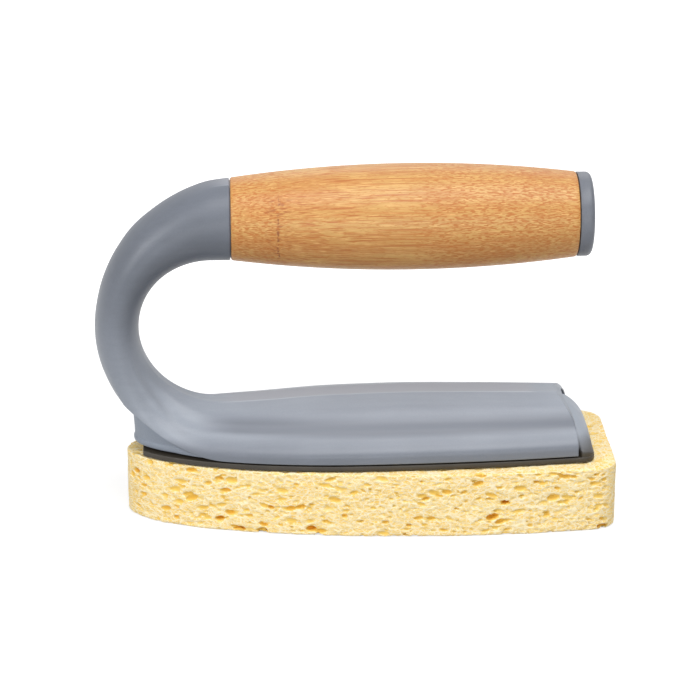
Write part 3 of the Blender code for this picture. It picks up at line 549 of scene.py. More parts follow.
bend_start = wall_foot + np.array((0, 1, 0)) * INNER_EDGE
bend_start[:, 2] = RIM_Z
bend_corner = wall_foot * np.array((1, 1, 0)) + np.array((0, 0, RIM_Z))
bend_stop = bend_corner + np.array((0, 0, 1)) * INNER_EDGE
inner_bend = np.concatenate([bend_start[:, None], bezier(bend_start, bend_corner, bend_stop, 3)], 1)
inner_rising = inner_points[:, ::-1].copy()
inner_rising[..., 2] = np.maximum(inner_rising[..., 2], RIM_Z + INNER_EDGE)
hollow_under = np.concatenate([inner_bend, inner_rising[:, 1:]], 1)


def rounded_end(ring):
    """Rows that turn a half section's last ring through a quarter circle towards the end face."""
    run = np.gradient(ring, axis=0)
    run[:, 0] = 0
    run = unit(run)
    outward = np.stack([np.zeros(len(run)), -run[:, 2], run[:, 1]], -1)
    outward[0] = (0, 0, 1)
    outward[-1] = (0, 0, -1)
    angle = np.radians((22.5, 45, 67.5, 90))[:, None, None]
    return ring - outward * EDGE * (1 - np.cos(angle)) + np.array((1, 0, 0)) * EDGE * np.sin(angle)


last_ring = np.concatenate([hollow_skin[-1], hollow_lip[-1], hollow_under[-1]])
end_rows = np.concatenate([last_ring[None], rounded_end(last_ring)])
outer_count = hollow_skin.shape[1]
face_outer = end_rows[-1, :outer_count]
face_inner = end_rows[-1, -outer_count:][::-1]
face_rim = end_rows[-1, outer_count - 1:-outer_count + 1]
face_rim = np.concatenate([face_rim, face_rim[:1]])
end_face = np.stack([face_outer, face_inner], 1)
rim_face = np.stack([face_rim, np.broadcast_to(face_rim.mean(0), face_rim.shape)], 1)

# The neck's face at the seam: a rounded edge, a flat ring, and inside it a shallow recess
neck_centre = np.array((SEAM_X, 0, GRIP_Z))
seam_ring = skin(np.array([[NECK]]), columns_to([1.0]))
seam_angle = np.radians((90, 67.5, 45, 22.5, 0))[:, None, None]
seam_size = 1 - EDGE * (1 - np.cos(seam_angle)) / NECK_RADIUS
seam_rows = neck_centre + (seam_ring - neck_centre) * seam_size
seam_rows = seam_rows - np.array((1, 0, 0)) * EDGE * (1 - np.sin(seam_angle))
seam_step = np.array((0.28 * MM, 0, 0))
seam_pad = neck_centre + (seam_rows[:1] - neck_centre) * (1, 0.97, 0.97)
seam_middle = np.broadcast_to(neck_centre + seam_step, seam_pad.shape)
seam_face = np.concatenate([seam_middle, seam_pad + seam_step, seam_pad, seam_rows])

# Half the moulding, as grids that share their edges
half_moulding = [
    np.concatenate([seam_face, upper_skin[1:], solid_skin[1:]]),
    np.concatenate([solid_skin[:, -1:], solid_lip, solid_under], 1),
    hollow_skin,
    np.concatenate([hollow_skin[:, -1:], hollow_lip, hollow_under], 1),
    np.stack([np.concatenate([solid_lip[-1, -1:], solid_under[-1]]),
              np.concatenate([hollow_lip[0, -1:], hollow_under[0]])]),
    end_rows,
    end_face,
    rim_face,
]

# Four posts, turned profiles with a bore for a screw, whose tops merge into the base's ceiling
post_places = [(x, y) for x in (-30.0 * MM, 52.0 * MM) for y in (-15.7 * MM, 15.7 * MM)]
posts = []
for x, y in post_places:
    roof = inner_skin(skin(270 + (x - LOOP_X) / MM, end_turns[:1]), np.full(end_turns[:1].shape, x))[0]
    top = float(np.interp(abs(y), roof[:, 1], roof[:, 2])) / MM + 3
    profile = np.array([(1.45, top), (1.45, 31.4), (1.75, 31.1), (3.2, 31.1), (3.5, 31.4), (3.5, top - 5),
                        (4.4, top), (1.45, top)]) * MM
    post = lathe(profile, 36, (x, y, 0))
    ceiling = np.interp(np.abs(post[..., 1]), roof[:, 1], roof[:, 2])
    post[..., 2] = np.minimum(post[..., 2], ceiling + 0.7 * MM)
    posts.append(post)

# The spigot that the grip is pushed on, bored at its end for the threaded insert
profile = np.array([(0, 17.7), (4.0, 17.7), (4.0, 31.4), (4.3, 31.7), (5.6, 31.7), (6.0, 31.3), (6.0, -1),
                    (0, -1)]) * MM
spigot = lathe(profile, 40, (SEAM_X, 0, GRIP_Z), "X")


def noise(place, size, detail=2.0, stretch=(1, 1, 1), centre=(0, 0, 0)):
    """Noise from 0 to 1 whose grains are about size metres, stretched along the axes."""
    scale = [1 / (size * part) for part in stretch]
    shift = [-at * part for at, part in zip(centre, scale)]
    where = place.node("ShaderNodeMapping", {}, {"Vector": place, "Scale": scale, "Location": shift})
    return place.node("ShaderNodeTexNoise", {}, {"Vector": where, "Scale": 1.0, "Detail": detail})


def coordinates(place):
    """The place's X, Y and Z as three values."""
    parts = place.node("ShaderNodeSeparateXYZ", {}, {"Vector": place}).socket.node
    return [Value(place.tree, parts.outputs[axis]) for axis in "XYZ"]


def bumps(height, depth):
    """Relief of the given depth in metres, where height runs from 0 to 1."""
    sockets = {"Height": height, "Distance": depth, "Strength": 1.0}
    feed(Normal=height.node("ShaderNodeBump", {}, sockets, "Normal"))


slate, place = new_finish("slate_polypropylene", Specular_IOR_Level=0.5, IOR=1.49)
cloud = noise(place, 26 * MM, 3.0)
fleck = noise(place, 0.55 * MM, 1.5)
drag = noise(place, 2.2 * MM, 2.0, stretch=(14, 1, 1))
tone = cloud * 0.5 + drag * 0.25 + fleck * 0.25
x_place, y_place, z_place = coordinates(place)
off_middle = abs(y_place)

# The grey carries painted light: darker up at the neck, paler down on the base above its lip, painted
# shade in the flute, a paler painted tone on the strip, and a thin painted highlight along its edges
on_base = x_place.step(-54 * MM, -40 * MM) * x_place.step(69 * MM, 64 * MM)
on_crown = on_base * z_place.step(41 * MM, 43 * MM)
strip = off_middle.step(4.6 * MM, 4.0 * MM) * on_crown
strip_edge_highlight = off_middle.step(4.1 * MM, 4.4 * MM) * off_middle.step(5.0 * MM, 4.7 * MM) * on_crown
grey = tone.step(0.30, 0.70).blend(linear(93, 98, 107), linear(102, 107, 117))
# pale is a lit copy of the grey: painted light that covers the base and fades out up the neck and on the
# lip
pale = tone.step(0.30, 0.70).blend(linear(138, 144, 154), linear(147, 153, 163))
painted_light_low = z_place.step(96 * MM, 38 * MM) * (0.25 + 0.75 * z_place.step(30.5 * MM, 35 * MM))
grey = painted_light_low.blend(grey, pale)
# Painted shade: a darker band of grey along the flute
flute_level = z_place.step(34.8 * MM, 36.8 * MM) * z_place.step(42.0 * MM, 38.8 * MM)
flute_shade = flute_level * x_place.step(-62 * MM, -42 * MM)
grey = (flute_shade * 0.85).blend(grey, linear(104, 109, 119))
# A paler painted tone on the strip, for the light it catches
grey = (strip * 0.8).blend(grey, linear(148, 149, 157))
# A thin painted highlight along the strip's edges
grey = (strip_edge_highlight * 0.5).blend(grey, linear(176, 180, 188))
feed(Base_Color=grey, Roughness=0.36 + 0.10 * fleck + 0.05 * drag)
bumps(fleck * 0.7 + noise(place, 0.22 * MM, 1.0) * 0.3, 0.030 * MM)

moulding = mesh_of("handle_moulding", mirrored(half_moulding) + posts + [spigot])
add_piece("handle_moulding", moulding, slate, "handle_plastic", "handle", "handle_body")


# Grip: a barrel turned from laminated bamboo, bored for the handle's spigot and its rod, sanded and
# brushed with a thin lacquer. It shows fine fibre bundles along its length and one node of the cane.
GRIP_START = SEAM_X + GAP
GRIP_LENGTH = 126.0 * MM
GRIP_EDGE = 0.6 * MM


def barrel_radius(height):
    """The grip's radius: a parabola about its thickest place."""
    return 19.45 * MM - 1.04 * (height - 65.0 * MM) ** 2


along = np.linspace(GRIP_EDGE, GRIP_LENGTH - GRIP_EDGE, 110)
quarter = np.radians(np.linspace(0, 90, 6))[:-1]
round_in = GRIP_EDGE * (1 - np.sin(quarter))
round_up = GRIP_EDGE * (1 - np.cos(quarter))
front_edge = np.stack([barrel_radius(0) - round_in, round_up], 1)
rear_edge = np.stack([barrel_radius(GRIP_LENGTH) - round_in, GRIP_LENGTH - round_up], 1)[::-1]
barrel = np.stack([barrel_radius(along), along], 1)
bore = np.array([(8.0, 126.0), (8.0, 113.0), (3.0, 113.0), (3.0, 31.7), (6.3, 31.7), (6.3, 0.0)]) * MM
profile = np.concatenate([front_edge, barrel, rear_edge, bore, front_edge[:1]])

bamboo, place = new_finish("lacquered_bamboo", Specular_IOR_Level=0.5, Coat_Roughness=0.28, Coat_IOR=1.5)
x_place, y_place, z_place = coordinates(place)

# Grain along X: long streaks and lines in the middle, short dashes towards the ends, where the barrel's
# taper cuts across the fibres
streak = noise(place, 0.60 * MM, 2.0, stretch=(60, 1, 1))
line = noise(place, 0.46 * MM, 1.0, stretch=(90, 1, 1), centre=(0.1, 0.2, 0.5))
thread = noise(place, 0.34 * MM, 1.0, stretch=(26, 1, 1))
ends = x_place.step(-18 * MM, -30 * MM) + x_place.step(12 * MM, 36 * MM)
dash = noise(place, 0.36 * MM, 1.5, stretch=(5.5, 1, 1), centre=(0.3, 0.1, 0.2)) + ends * 0.07
band = noise(place, 7.0 * MM, 2.0, stretch=(7, 1, 1))
cloud = noise(place, 16 * MM, 2.0, stretch=(1.6, 1, 1))
wave = noise(place, 5.0 * MM, 1.0, stretch=(2.5, 1, 1))

# The cane's node: a broken dark line across the grain, in a flare of short marks, on the front only
node_near = abs(x_place + wave * (2.4 * MM) + 26.4 * MM)
knots = noise(place, 1.1 * MM, 0.0, stretch=(0.8, 1, 1)).step(0.50, 0.62)
node_height = z_place.step(127 * MM, 123 * MM) * z_place.step(97 * MM, 101 * MM)
node_front = y_place.step(2 * MM, -4 * MM) * node_height
node_line = node_near.step(0.62 * MM, 0.15 * MM) * knots * node_front
marks = noise(place, 0.7 * MM, 1.5, stretch=(4.5, 1, 1)).step(0.54, 0.68)
node_flare = node_near.step(7.5 * MM, 1.0 * MM) * marks

honey = cloud.step(0.32, 0.68).blend(linear(202, 157, 88), linear(191, 142, 74))
honey = (band.step(0.45, 0.75) * 0.50).blend(honey, linear(186, 120, 54))
honey = (streak.step(0.48, 0.66) * 0.70).blend(honey, linear(184, 114, 46))
honey = (thread.step(0.50, 0.75) * 0.50).blend(honey, linear(236, 190, 120))
honey = (line.step(0.54, 0.64) * (1 - 0.75 * ends.step(0, 1)) * 0.80).blend(honey, linear(172, 98, 34))
honey = (dash.step(0.56, 0.65) * (0.50 + 0.35 * ends.step(0, 1))).blend(honey, linear(178, 104, 38))
honey = (node_flare * node_front * 0.85).blend(honey, linear(156, 86, 30))
honey = (node_line * 0.80).blend(honey, linear(128, 66, 22))
feed(Base_Color=honey, Roughness=0.42 + 0.16 * dash - 0.06 * thread,
     Coat_Weight=0.16 + 0.10 * cloud - 0.15 * dash.step(0.5, 0.7))
bumps(1 - dash.step(0.55, 0.75) * 0.7 - streak.step(0.55, 0.8) * 0.3, 0.05 * MM)

grip_mesh = mesh_of("bamboo_grip", [lathe(profile, 128, (GRIP_START, 0, GRIP_Z), "X")])
add_piece("bamboo_grip", grip_mesh, bamboo, "bamboo", "handle", "grip")


# End cap: a moulded disc of the handle's grey with a rounded edge, pressed into the grip's free end
# over the nut.
CAP_X = GRIP_START + GRIP_LENGTH + GAP
turns = np.radians(np.linspace(0, 90, 10))
cap_edge = np.stack([15.45 - 2.0 * (1 - np.sin(turns)), 5.2 - 2.0 * (1 - np.cos(turns))], 1)
cap_face = np.array([(0.0, 4.95), (4.0, 4.97), (8.0, 5.05), (11.5, 5.16)])
cap_back = np.array([(15.45, 0.3), (15.3, 0.08), (15.1, 0.0), (7.7, 0.0), (7.7, -3.8), (7.5, -4.0),
                     (5.7, -4.0), (5.5, -3.8), (5.5, 1.0), (0.0, 1.0)])
cap_profile = np.concatenate([cap_face, cap_edge, cap_back]) * MM

cap_grey, place = new_finish("cap_polypropylene", Specular_IOR_Level=0.5, IOR=1.49)
fleck = noise(place, 0.5 * MM, 1.5)
swirl = noise(place, 5 * MM, 2.0, stretch=(3, 1, 1))
tone = (swirl * 0.6 + fleck * 0.4).step(0.3, 0.7)
feed(Base_Color=tone.blend(linear(97, 101, 109), linear(106, 110, 119)), Roughness=0.36 + 0.12 * fleck)
bumps(fleck, 0.03 * MM)
cap_mesh = mesh_of("end_cap_moulding", [lathe(cap_profile, 96, (CAP_X, 0, GRIP_Z), "X")])
add_piece("end_cap_moulding", cap_mesh, cap_grey, "cap_plastic", "handle", "end_cap")


# Rail frame: the moulding that closes the handle from below. Its heel fills the space under the
# loop's foot and shows at the nose; its plate has the slot, channel and bridges that hold the head's
# rail, and counterbores for the screws that fix it to the posts.
HEEL_INSET = 1.3 * MM
HEEL_BOTTOM = 27.8 * MM
HEEL_END = -56.6 * MM           # where the heel runs out under the handle's foot
PLATE_LOW = 27.6 * MM
PLATE_TOP = 30.0 * MM
FRAME_INSET = 3.0 * MM
FRAME_END = 64.0 * MM
TAIL_CORNER = 5.0 * MM
SLOT_HALF = 6.0 * MM
SLOT_START = -46.6 * MM
CHANNEL_HALF = 10.5 * MM        # the channel round the head's rail, inside and outside
CHANNEL_OUT = 11.9 * MM
CHANNEL_START = -48.0 * MM
CHANNEL_END = 63.7 * MM
CHANNEL_LOW = 28.8 * MM
CHANNEL_TOP = 36.3 * MM

# The heel's outline: the base's nose set in, from its tip to where the heel runs out
long_half = NOSE_LENGTH - HEEL_INSET
wide_half = BASE_HALF - HEEL_INSET
turn_end = math.acos((WIDEST_X - HEEL_END) / long_half)
round_nose = np.linspace(0, 1, 70) ** 1.15 * turn_end
plan_x = WIDEST_X - long_half * np.cos(round_nose)
plan_y = wide_half * np.sin(round_nose)
plan_out = unit(np.stack([-wide_half * np.cos(round_nose), long_half * np.sin(round_nose)], -1))

# Up the heel's side: its rounded foot and flared rim in millimetres, then its draft up to the handle,
# each level with how far it stands in from the outline. Where the heel is low, all of it shrinks
rim_levels = np.array((0, 0.10, 0.30, 0.60, 1.0, 1.5, 1.9, 2.15, 2.3, 2.5, 2.8)) * MM
rim_insets = np.array((1.15, 0.80, 0.52, 0.34, 0.24, 0.20, 0.22, 0.30, 0.46, 0.58, 0.62)) * MM
heel_high = foot_level(plan_x) - GAP - HEEL_BOTTOM
size = np.clip(heel_high / (4.0 * MM), 0.05, 1)[:, None]
rising = np.array((0.12, 0.3, 0.5, 0.7, 0.88, 0.97, 1.0))
rise_insets = np.array((0.58, 0.46, 0.33, 0.20, 0.08, 0.10, 0.34)) * MM
rim_high = rim_levels[-1] * size
inset = np.concatenate([rim_insets * size, rise_insets * size], 1)[:, ::-1]
heel_x = plan_x[:, None] - plan_out[:, :1] * inset
heel_y = np.maximum(plan_y[:, None] - plan_out[:, 1:] * inset, 0)
above_rim = rim_high + (heel_high[:, None] - rim_high) * rising
heel_z = HEEL_BOTTOM + np.concatenate([rim_levels * size, above_rim], 1)[:, ::-1]
heel_side = np.stack([heel_x, heel_y, heel_z], -1)

# Its top and its underside run level from the side to the middle
across = np.linspace(1, 0, 12)[1:]
to_middle = np.stack([np.ones(11), across, np.ones(11)], -1)
heel_top = heel_side[:, :1] * to_middle
heel_under = heel_side[:, -1:] * to_middle
heel = np.concatenate([heel_top[:, ::-1], heel_side, heel_under], 1)

# The heel's thin end closes on a line across it, halfway up
heel_close = heel[-1:].copy()
heel_close[0, :, 0] = heel[-1, 0, 0]
heel_close[0, :, 1] = heel_side[-1, 9, 1] * np.concatenate([across[::-1], np.ones(inset.shape[1]), across])
heel_close[0, :, 2] = (heel[-1, 0, 2] + heel[-1, -1, 2]) / 2
heel = np.concatenate([heel, heel_close])


def slab(outline, low, high, edge):
    """The side of a flat outline raised between two levels, its edges rounded by setting the outline
    in along its corners' bisectors. Its top and bottom are filled when the mesh is made."""
    outline = np.asarray(outline, float)
    before = unit(outline - np.roll(outline, 1, 0))
    after = unit(np.roll(outline, -1, 0) - outline)
    bisector = unit(before + after)
    normal = np.stack([bisector[:, 1], -bisector[:, 0]], -1)
    area = (outline[:, 0] * np.roll(outline[:, 1], -1) - np.roll(outline[:, 0], -1) * outline[:, 1]).sum()
    normal = normal * np.sign(area) / np.maximum((before * bisector).sum(1, keepdims=True), 0.4)
    angle = np.radians((0, 22.5, 45, 67.5, 90))
    insets = np.concatenate([edge * (1 - np.sin(angle)), edge * (1 - np.cos(angle))])
    levels = np.concatenate([low + edge * (1 - np.cos(angle)), high - edge * (1 - np.sin(angle))])
    ring = outline[None] - normal[None] * insets[:, None, None]
    points = np.concatenate([ring, np.broadcast_to(levels[:, None, None], ring.shape[:2] + (1,))], -1)
    return np.concatenate([points, points[:, :1]], 1)


def carved(mesh, tools):
    """The mesh with each tool's mesh cut out of it."""
    holder = bpy.data.objects.new("carved", mesh)
    bpy.context.scene.collection.objects.link(holder)
    for tool in tools:
        cutter = bpy.data.objects.new("cutter", tool)
        bpy.context.scene.collection.objects.link(cutter)
        cut = holder.modifiers.new("cut", "BOOLEAN")
        cut.object = cutter
    bpy.context.view_layer.update()
    graph = bpy.context.evaluated_depsgraph_get()
    made = bpy.data.meshes.new_from_object(holder.evaluated_get(graph))
    for cut in holder.modifiers:
        bpy.data.objects.remove(cut.object)
    bpy.data.objects.remove(holder)
    return made


def joined(name, meshes):
    """Several meshes as one."""
    work = bmesh.new()
    for mesh in meshes:
        work.from_mesh(mesh)
    made = bpy.data.meshes.new(name)
    work.to_mesh(made)
    work.free()
    made.shade_smooth()
    made.set_sharp_from_angle(angle=math.radians(38))
    return made


def iron_plan(start, end, inset, steps):
    """Half an outline set in from the base's: an ellipse from x = start to the widest place, then the
    base's tail, and a quarter circle as its corner at x = end."""
    turn = math.acos(min((WIDEST_X - start) / (NOSE_LENGTH - inset), 1))
    nose = np.linspace(turn, math.pi / 2, steps[0])
    x = np.concatenate([WIDEST_X - (NOSE_LENGTH - inset) * np.cos(nose),
                        np.linspace(WIDEST_X, end - TAIL_CORNER, steps[1])[1:]])
    y = half_plan(x, inset)
    corner = np.linspace(0, math.pi / 2, steps[2])[1:]
    return np.stack([np.concatenate([x, end - TAIL_CORNER * (1 - np.sin(corner))]),
                     np.concatenate([y, y[-1] - TAIL_CORNER * (1 - np.cos(corner))])], 1)


def box_outline(x0, x1, half_width):
    """A rectangle's corners, its sides at +-half_width across."""
    return np.array([(x0, -half_width), (x1, -half_width), (x1, half_width), (x0, half_width)])


# The plate is open along its middle from its tail, where the rail's stem runs; the channel is a long
# U round the rail, with four bridges over it
side = iron_plan(WIDEST_X - (NOSE_LENGTH - FRAME_INSET), FRAME_END, FRAME_INSET, (40, 30, 9))
slot = np.array([(FRAME_END, SLOT_HALF), (SLOT_START, SLOT_HALF)])
half = np.concatenate([side, slot])
plate_outline = np.concatenate([half, half[::-1][:-1] * (1, -1)])
channel_half = np.array([(SLOT_START, CHANNEL_HALF), (CHANNEL_END, CHANNEL_HALF),
                         (CHANNEL_END, CHANNEL_OUT), (CHANNEL_START, CHANNEL_OUT)])
channel_outline = np.concatenate([channel_half, channel_half[::-1] * (1, -1)])
bridge_slabs = [slab(box_outline(x - 4.2 * MM, x + 4.2 * MM, 11.2 * MM), 34.9 * MM, 36.0 * MM, 0.25 * MM)
                for x in np.array((-43.7, -20.0, 22.0, 55.6)) * MM]


def screw_room(x, y, low, radius):
    """The room for a screw: a counterbore from below, and the hole for its shank."""
    profile = [(0, low - 3 * MM), (3.1 * MM, low - 3 * MM), (3.1 * MM, low + 1.9 * MM),
               (radius + GAP, low + 1.9 * MM), (radius + GAP, low + 25 * MM), (0, low + 25 * MM)]
    return mesh_of("screw_room", [lathe(profile, 40, (x, y, 0))])


RAIL_SCREW_RADIUS = 1.45 * MM
HEEL_SCREW_RADIUS = 1.5 * MM
HEEL_SCREW_X = -68.0 * MM
plate_mesh = mesh_of("plate", [slab(plate_outline, PLATE_LOW, PLATE_TOP, 0.3 * MM)])
plate_mesh = carved(plate_mesh, [screw_room(x, y, PLATE_LOW, RAIL_SCREW_RADIUS) for x, y in post_places]
                    + [screw_room(HEEL_SCREW_X, 0, PLATE_LOW, HEEL_SCREW_RADIUS)])
heel_mesh = carved(mesh_of("heel", mirrored([heel])),
                   [screw_room(HEEL_SCREW_X, 0, HEEL_BOTTOM, HEEL_SCREW_RADIUS)])
channel_slab = slab(channel_outline, CHANNEL_LOW, CHANNEL_TOP, 0.25 * MM)
channel_mesh = mesh_of("channel", [channel_slab] + bridge_slabs)

# A low ring on the plate round each screw, which meets the post above it
profile = np.array([(1.75, 29.6), (4.2, 29.6), (4.2, 30.6), (4.0, 30.8), (1.95, 30.8), (1.75, 30.6),
                    (1.75, 29.6)]) * MM
pads = [lathe(profile, 36, (x, y, 0)) for x, y in post_places]

frame_grey, place = new_finish("frame_polypropylene", Specular_IOR_Level=0.5, IOR=1.49)
cloud = noise(place, 18 * MM, 3.0)
fleck = noise(place, 0.5 * MM, 1.5)
tone = (cloud * 0.6 + fleck * 0.4).step(0.3, 0.7)
feed(Base_Color=tone.blend(linear(128, 136, 148), linear(138, 146, 158)), Roughness=0.46 + 0.12 * fleck)
bumps(fleck, 0.035 * MM)
frame_mesh = joined("frame_moulding", [plate_mesh, heel_mesh, channel_mesh, mesh_of("pads", pads)])
add_piece("frame_moulding", frame_mesh, frame_grey, "frame_plastic", "handle", "rail_frame")


# Screws: zinc plated pan heads with a cross recess, driven up from below; and the detent spring, a
# bowed leaf of blue-grey spring steel under two bridges, whose middle sits in the rail's notch.
SCREW_HEAD = 2.8 * MM


def screw_surface(x, y, low, radius, length):
    """A head whose face is a shallow dome less a cross: four arms that narrow and deepen to the
    middle. The shank's radius follows a sawtooth that climbs one pitch a turn, down to a point."""
    angle = np.linspace(0, 2 * math.pi, 73)
    angle[-1] = 0.0
    out = np.linspace(0, 1, 22)[:, None] * SCREW_HEAD
    dome = 0.8 * MM * (out / SCREW_HEAD) ** 5
    east = np.abs(out * np.cos(angle))
    north = np.abs(out * np.sin(angle))
    arm = np.minimum(east, north)
    in_arm = 1 - eased(arm, 0.26 * MM, 0.40 * MM)
    recess = in_arm * (1 - eased(out, 1.25 * MM, 1.65 * MM)) * (1.0 * MM - 0.35 * out)
    head = np.stack([out * np.cos(angle), out * np.sin(angle), low + dome + recess], -1)
    rim = np.stack([SCREW_HEAD * np.cos(angle), SCREW_HEAD * np.sin(angle),
                    np.full(len(angle), low + 1.6 * MM)], -1)
    height = np.linspace(0, length, int(length / MM * 10))[:, None]
    pitch = 1.1 * MM
    saw = 1 - np.abs(((height / pitch - angle / (2 * math.pi)) % 1) * 2 - 1)
    taper = np.clip((length - height) / (2.2 * MM), 0, 1)
    thick = (radius - 0.42 * MM + 0.42 * MM * saw ** 1.5) * taper ** 0.7
    shank = np.stack([thick * np.cos(angle), thick * np.sin(angle),
                      np.broadcast_to(low + 1.6 * MM + height, thick.shape)], -1)
    return np.concatenate([head, rim[None], shank]) + np.array((x, y, 0))


zinc, place = new_finish("zinc_plate", Metallic=1.0, Specular_IOR_Level=0.5)
fine = noise(place, 0.25 * MM, 2.0)
wash = noise(place, 1.6 * MM, 2.0)
feed(Base_Color=wash.step(0.3, 0.7).blend(linear(196, 198, 202), linear(176, 180, 188)),
     Roughness=0.26 + 0.16 * fine)
bumps(fine, 0.012 * MM)
for name, (x, y) in zip(("left_front", "left_back", "right_front", "right_back"), post_places):
    mesh = mesh_of("screw_" + name, [screw_surface(x, y, PLATE_LOW, RAIL_SCREW_RADIUS, 6.0 * MM)])
    add_piece("screw_" + name, mesh, zinc, "steel", "handle", "rail_screw_" + name)
mesh = mesh_of("screw_heel", [screw_surface(HEEL_SCREW_X, 0, HEEL_BOTTOM, HEEL_SCREW_RADIUS, 12.0 * MM)])
add_piece("screw_heel", mesh, zinc, "steel", "handle", "heel_screw")

SPRING_X = -32.0 * MM
SPRING_HALF = 12.0 * MM

# The leaf rises from its middle as a power of the distance, and its ends are rounded in plan
share = np.linspace(-1, 1, 61)
low = 31.8 * MM + 2.4 * MM * np.abs(share) ** 1.3
past = np.clip((np.abs(share) - 0.88) / 0.12, 0, 1)
narrow = 3.5 * MM * np.sqrt(1 - 0.75 * past ** 2)
corner = np.array([(0, 0), (0.94, 0), (1, 0.12), (1, 0.28), (0.94, 0.4), (0, 0.4)])
leaf = np.stack(np.broadcast_arrays((SPRING_X + SPRING_HALF * share)[:, None],
                                    narrow[:, None] * corner[:, 0], low[:, None] + corner[:, 1] * MM), -1)
ends = [leaf[end][None].repeat(2, 0) for end in (0, -1)]
for end in ends:
    end[1, :, 2] = (end[0, 0, 2] + end[0, -1, 2]) / 2
spring_steel, place = new_finish("spring_steel", Metallic=1.0)
drawn = noise(place, 0.3 * MM, 2.0, stretch=(18, 1, 1))
feed(Base_Color=drawn.step(0.3, 0.7).blend(linear(150, 156, 166), linear(176, 181, 190)),
     Roughness=0.22 + 0.18 * drawn)
bumps(drawn, 0.01 * MM)
leaf_mesh = mesh_of("detent_leaf", mirrored([leaf] + ends))
add_piece("detent_leaf", leaf_mesh, spring_steel, "spring_steel", "handle", "detent_spring")


# Head plate: a thin moulding of grey polypropylene, with painted shade, dark and brownish, low down near
# the sponge. It is cut off square at the nose, carries the T-rail along its middle, and ends in a domed
# plug that closes the base's open end.
FLANGE_LOW = 24.8 * MM
FLANGE_TOP = 26.8 * MM
FLANGE_START = -78.5 * MM
HEAD_END = 88.3 * MM
PLUG_ROOT = 66.5 * MM           # where the plug starts, inside the base
PLUG_DOME = 13.8 * MM           # the length of its dome
PLUG_INSET = 2.85 * MM          # how far it stands in from the base's outer skin
RAIL_START = -46.0 * MM
RAIL_END = 67.7 * MM            # inside the plug
STEM_HALF = 5.5 * MM
RAIL_HALF = 10.0 * MM
RAIL_LOW = 30.3 * MM
RAIL_TOP = 32.3 * MM
NOTCH = 5.2 * MM                # half the length of the notch that the spring drops into

half = iron_plan(FLANGE_START, HEAD_END, 0.0, (60, 40, 11))
flange_x, flange_y = half.T
flange_outline = np.concatenate([half, half[::-1] * (1, -1)])
rail_parts = [
    slab(flange_outline, FLANGE_LOW, FLANGE_TOP, 0.35 * MM),
    slab(box_outline(RAIL_START, RAIL_END, STEM_HALF), FLANGE_TOP - 1 * MM, RAIL_LOW + 0.3 * MM, 0.2 * MM),
    slab(box_outline(RAIL_START, RAIL_END, RAIL_HALF), RAIL_LOW, RAIL_TOP - 0.8 * MM, 0.2 * MM),
    slab(box_outline(RAIL_START, SPRING_X - NOTCH, RAIL_HALF), RAIL_TOP - 1.4 * MM, RAIL_TOP, 0.2 * MM),
    slab(box_outline(SPRING_X + NOTCH, RAIL_END, RAIL_HALF), RAIL_TOP - 1.4 * MM, RAIL_TOP, 0.2 * MM),
]

# The plug: the base's end section set in, its top drawn down over the dome as a superellipse. Just
# outside the base its side widens to stand on the flange's edge
dome_start = HEAD_END - PLUG_DOME
dome_turn = np.linspace(0, math.pi / 2, 44)
plug_along = np.concatenate([[PLUG_ROOT], dome_start + PLUG_DOME * np.sin(dome_turn)])
end_outer = skin(np.full((1, 1), 270 + (END_X - LOOP_X) / MM), np.linspace(0, 0.62, 46)[None])[0]
run = np.gradient(end_outer[:, 1])
fall = -np.gradient(end_outer[:, 2])
length = np.hypot(run, fall)
plug_y = np.maximum.accumulate(end_outer[:, 1] - PLUG_INSET * fall / length)
plug_y = np.minimum(plug_y, half_plan(END_X) - PLUG_INSET)
plug_z = np.minimum.accumulate(end_outer[:, 2] - PLUG_INSET * run / length)
plug_y[0] = 0
plug_z[0] = end_outer[0, 2] - PLUG_INSET
down = np.linspace(plug_z[-1], FLANGE_TOP - 0.3 * MM, 16)[1:]
plug_y = np.concatenate([plug_y, np.full(len(down), plug_y[-1])])
plug_z = np.concatenate([plug_z, down])
share = np.clip((plug_along - dome_start) / PLUG_DOME, 0, 1)[:, None]
lower = (1 - share ** 1.85) ** (1 / 1.85)
plug_levels = FLANGE_TOP + (plug_z - FLANGE_TOP) * lower
flange_half = np.interp(plug_along, flange_x, flange_y)[:, None] - 0.3 * MM
leaves = end_place(plug_z)
outside = eased(plug_along[:, None], leaves + 0.35 * MM, leaves + 1.3 * MM)
plug_across = plug_y * (1 + (flange_half / plug_y[-1] - 1) * outside * (plug_y / plug_y[-1]) ** 3)
plug = np.stack([np.broadcast_to(plug_along[:, None], plug_across.shape), plug_across, plug_levels], -1)
plug_floor = plug[:, -2::-1].copy()
plug_floor[..., 2] = plug[:, -1:, 2]
plug = np.concatenate([plug, plug_floor], 1)
root_close = np.concatenate([plug[:1], plug[:1] * (1, 0, 1)])

plate_grey, place = new_finish("plate_polypropylene", Specular_IOR_Level=0.5, IOR=1.49)
cloud = noise(place, 14 * MM, 3.0)
fleck = noise(place, 0.5 * MM, 1.5)
# Painted shade: below 34 mm the grey turns dark brown, with the sponge's warm bounce light painted in
plate_shade = coordinates(place)[2].step(34 * MM, 27.5 * MM)
tone = (cloud * 0.6 + fleck * 0.4).step(0.3, 0.7)
grey = tone.blend(linear(152, 158, 168), linear(161, 168, 178))
dark = tone.blend(linear(44, 39, 31), linear(57, 51, 42))
feed(Base_Color=plate_shade.blend(grey, dark), Roughness=0.44 + 0.12 * fleck)
bumps(fleck, 0.035 * MM)
plug_mesh = mesh_of("plug", mirrored([plug, root_close]))
plate_mesh = joined("plate_moulding", [mesh_of("rails", rail_parts), plug_mesh])
add_piece("plate_moulding", plate_mesh, plate_grey, "plate_plastic", "head", "head_plate")
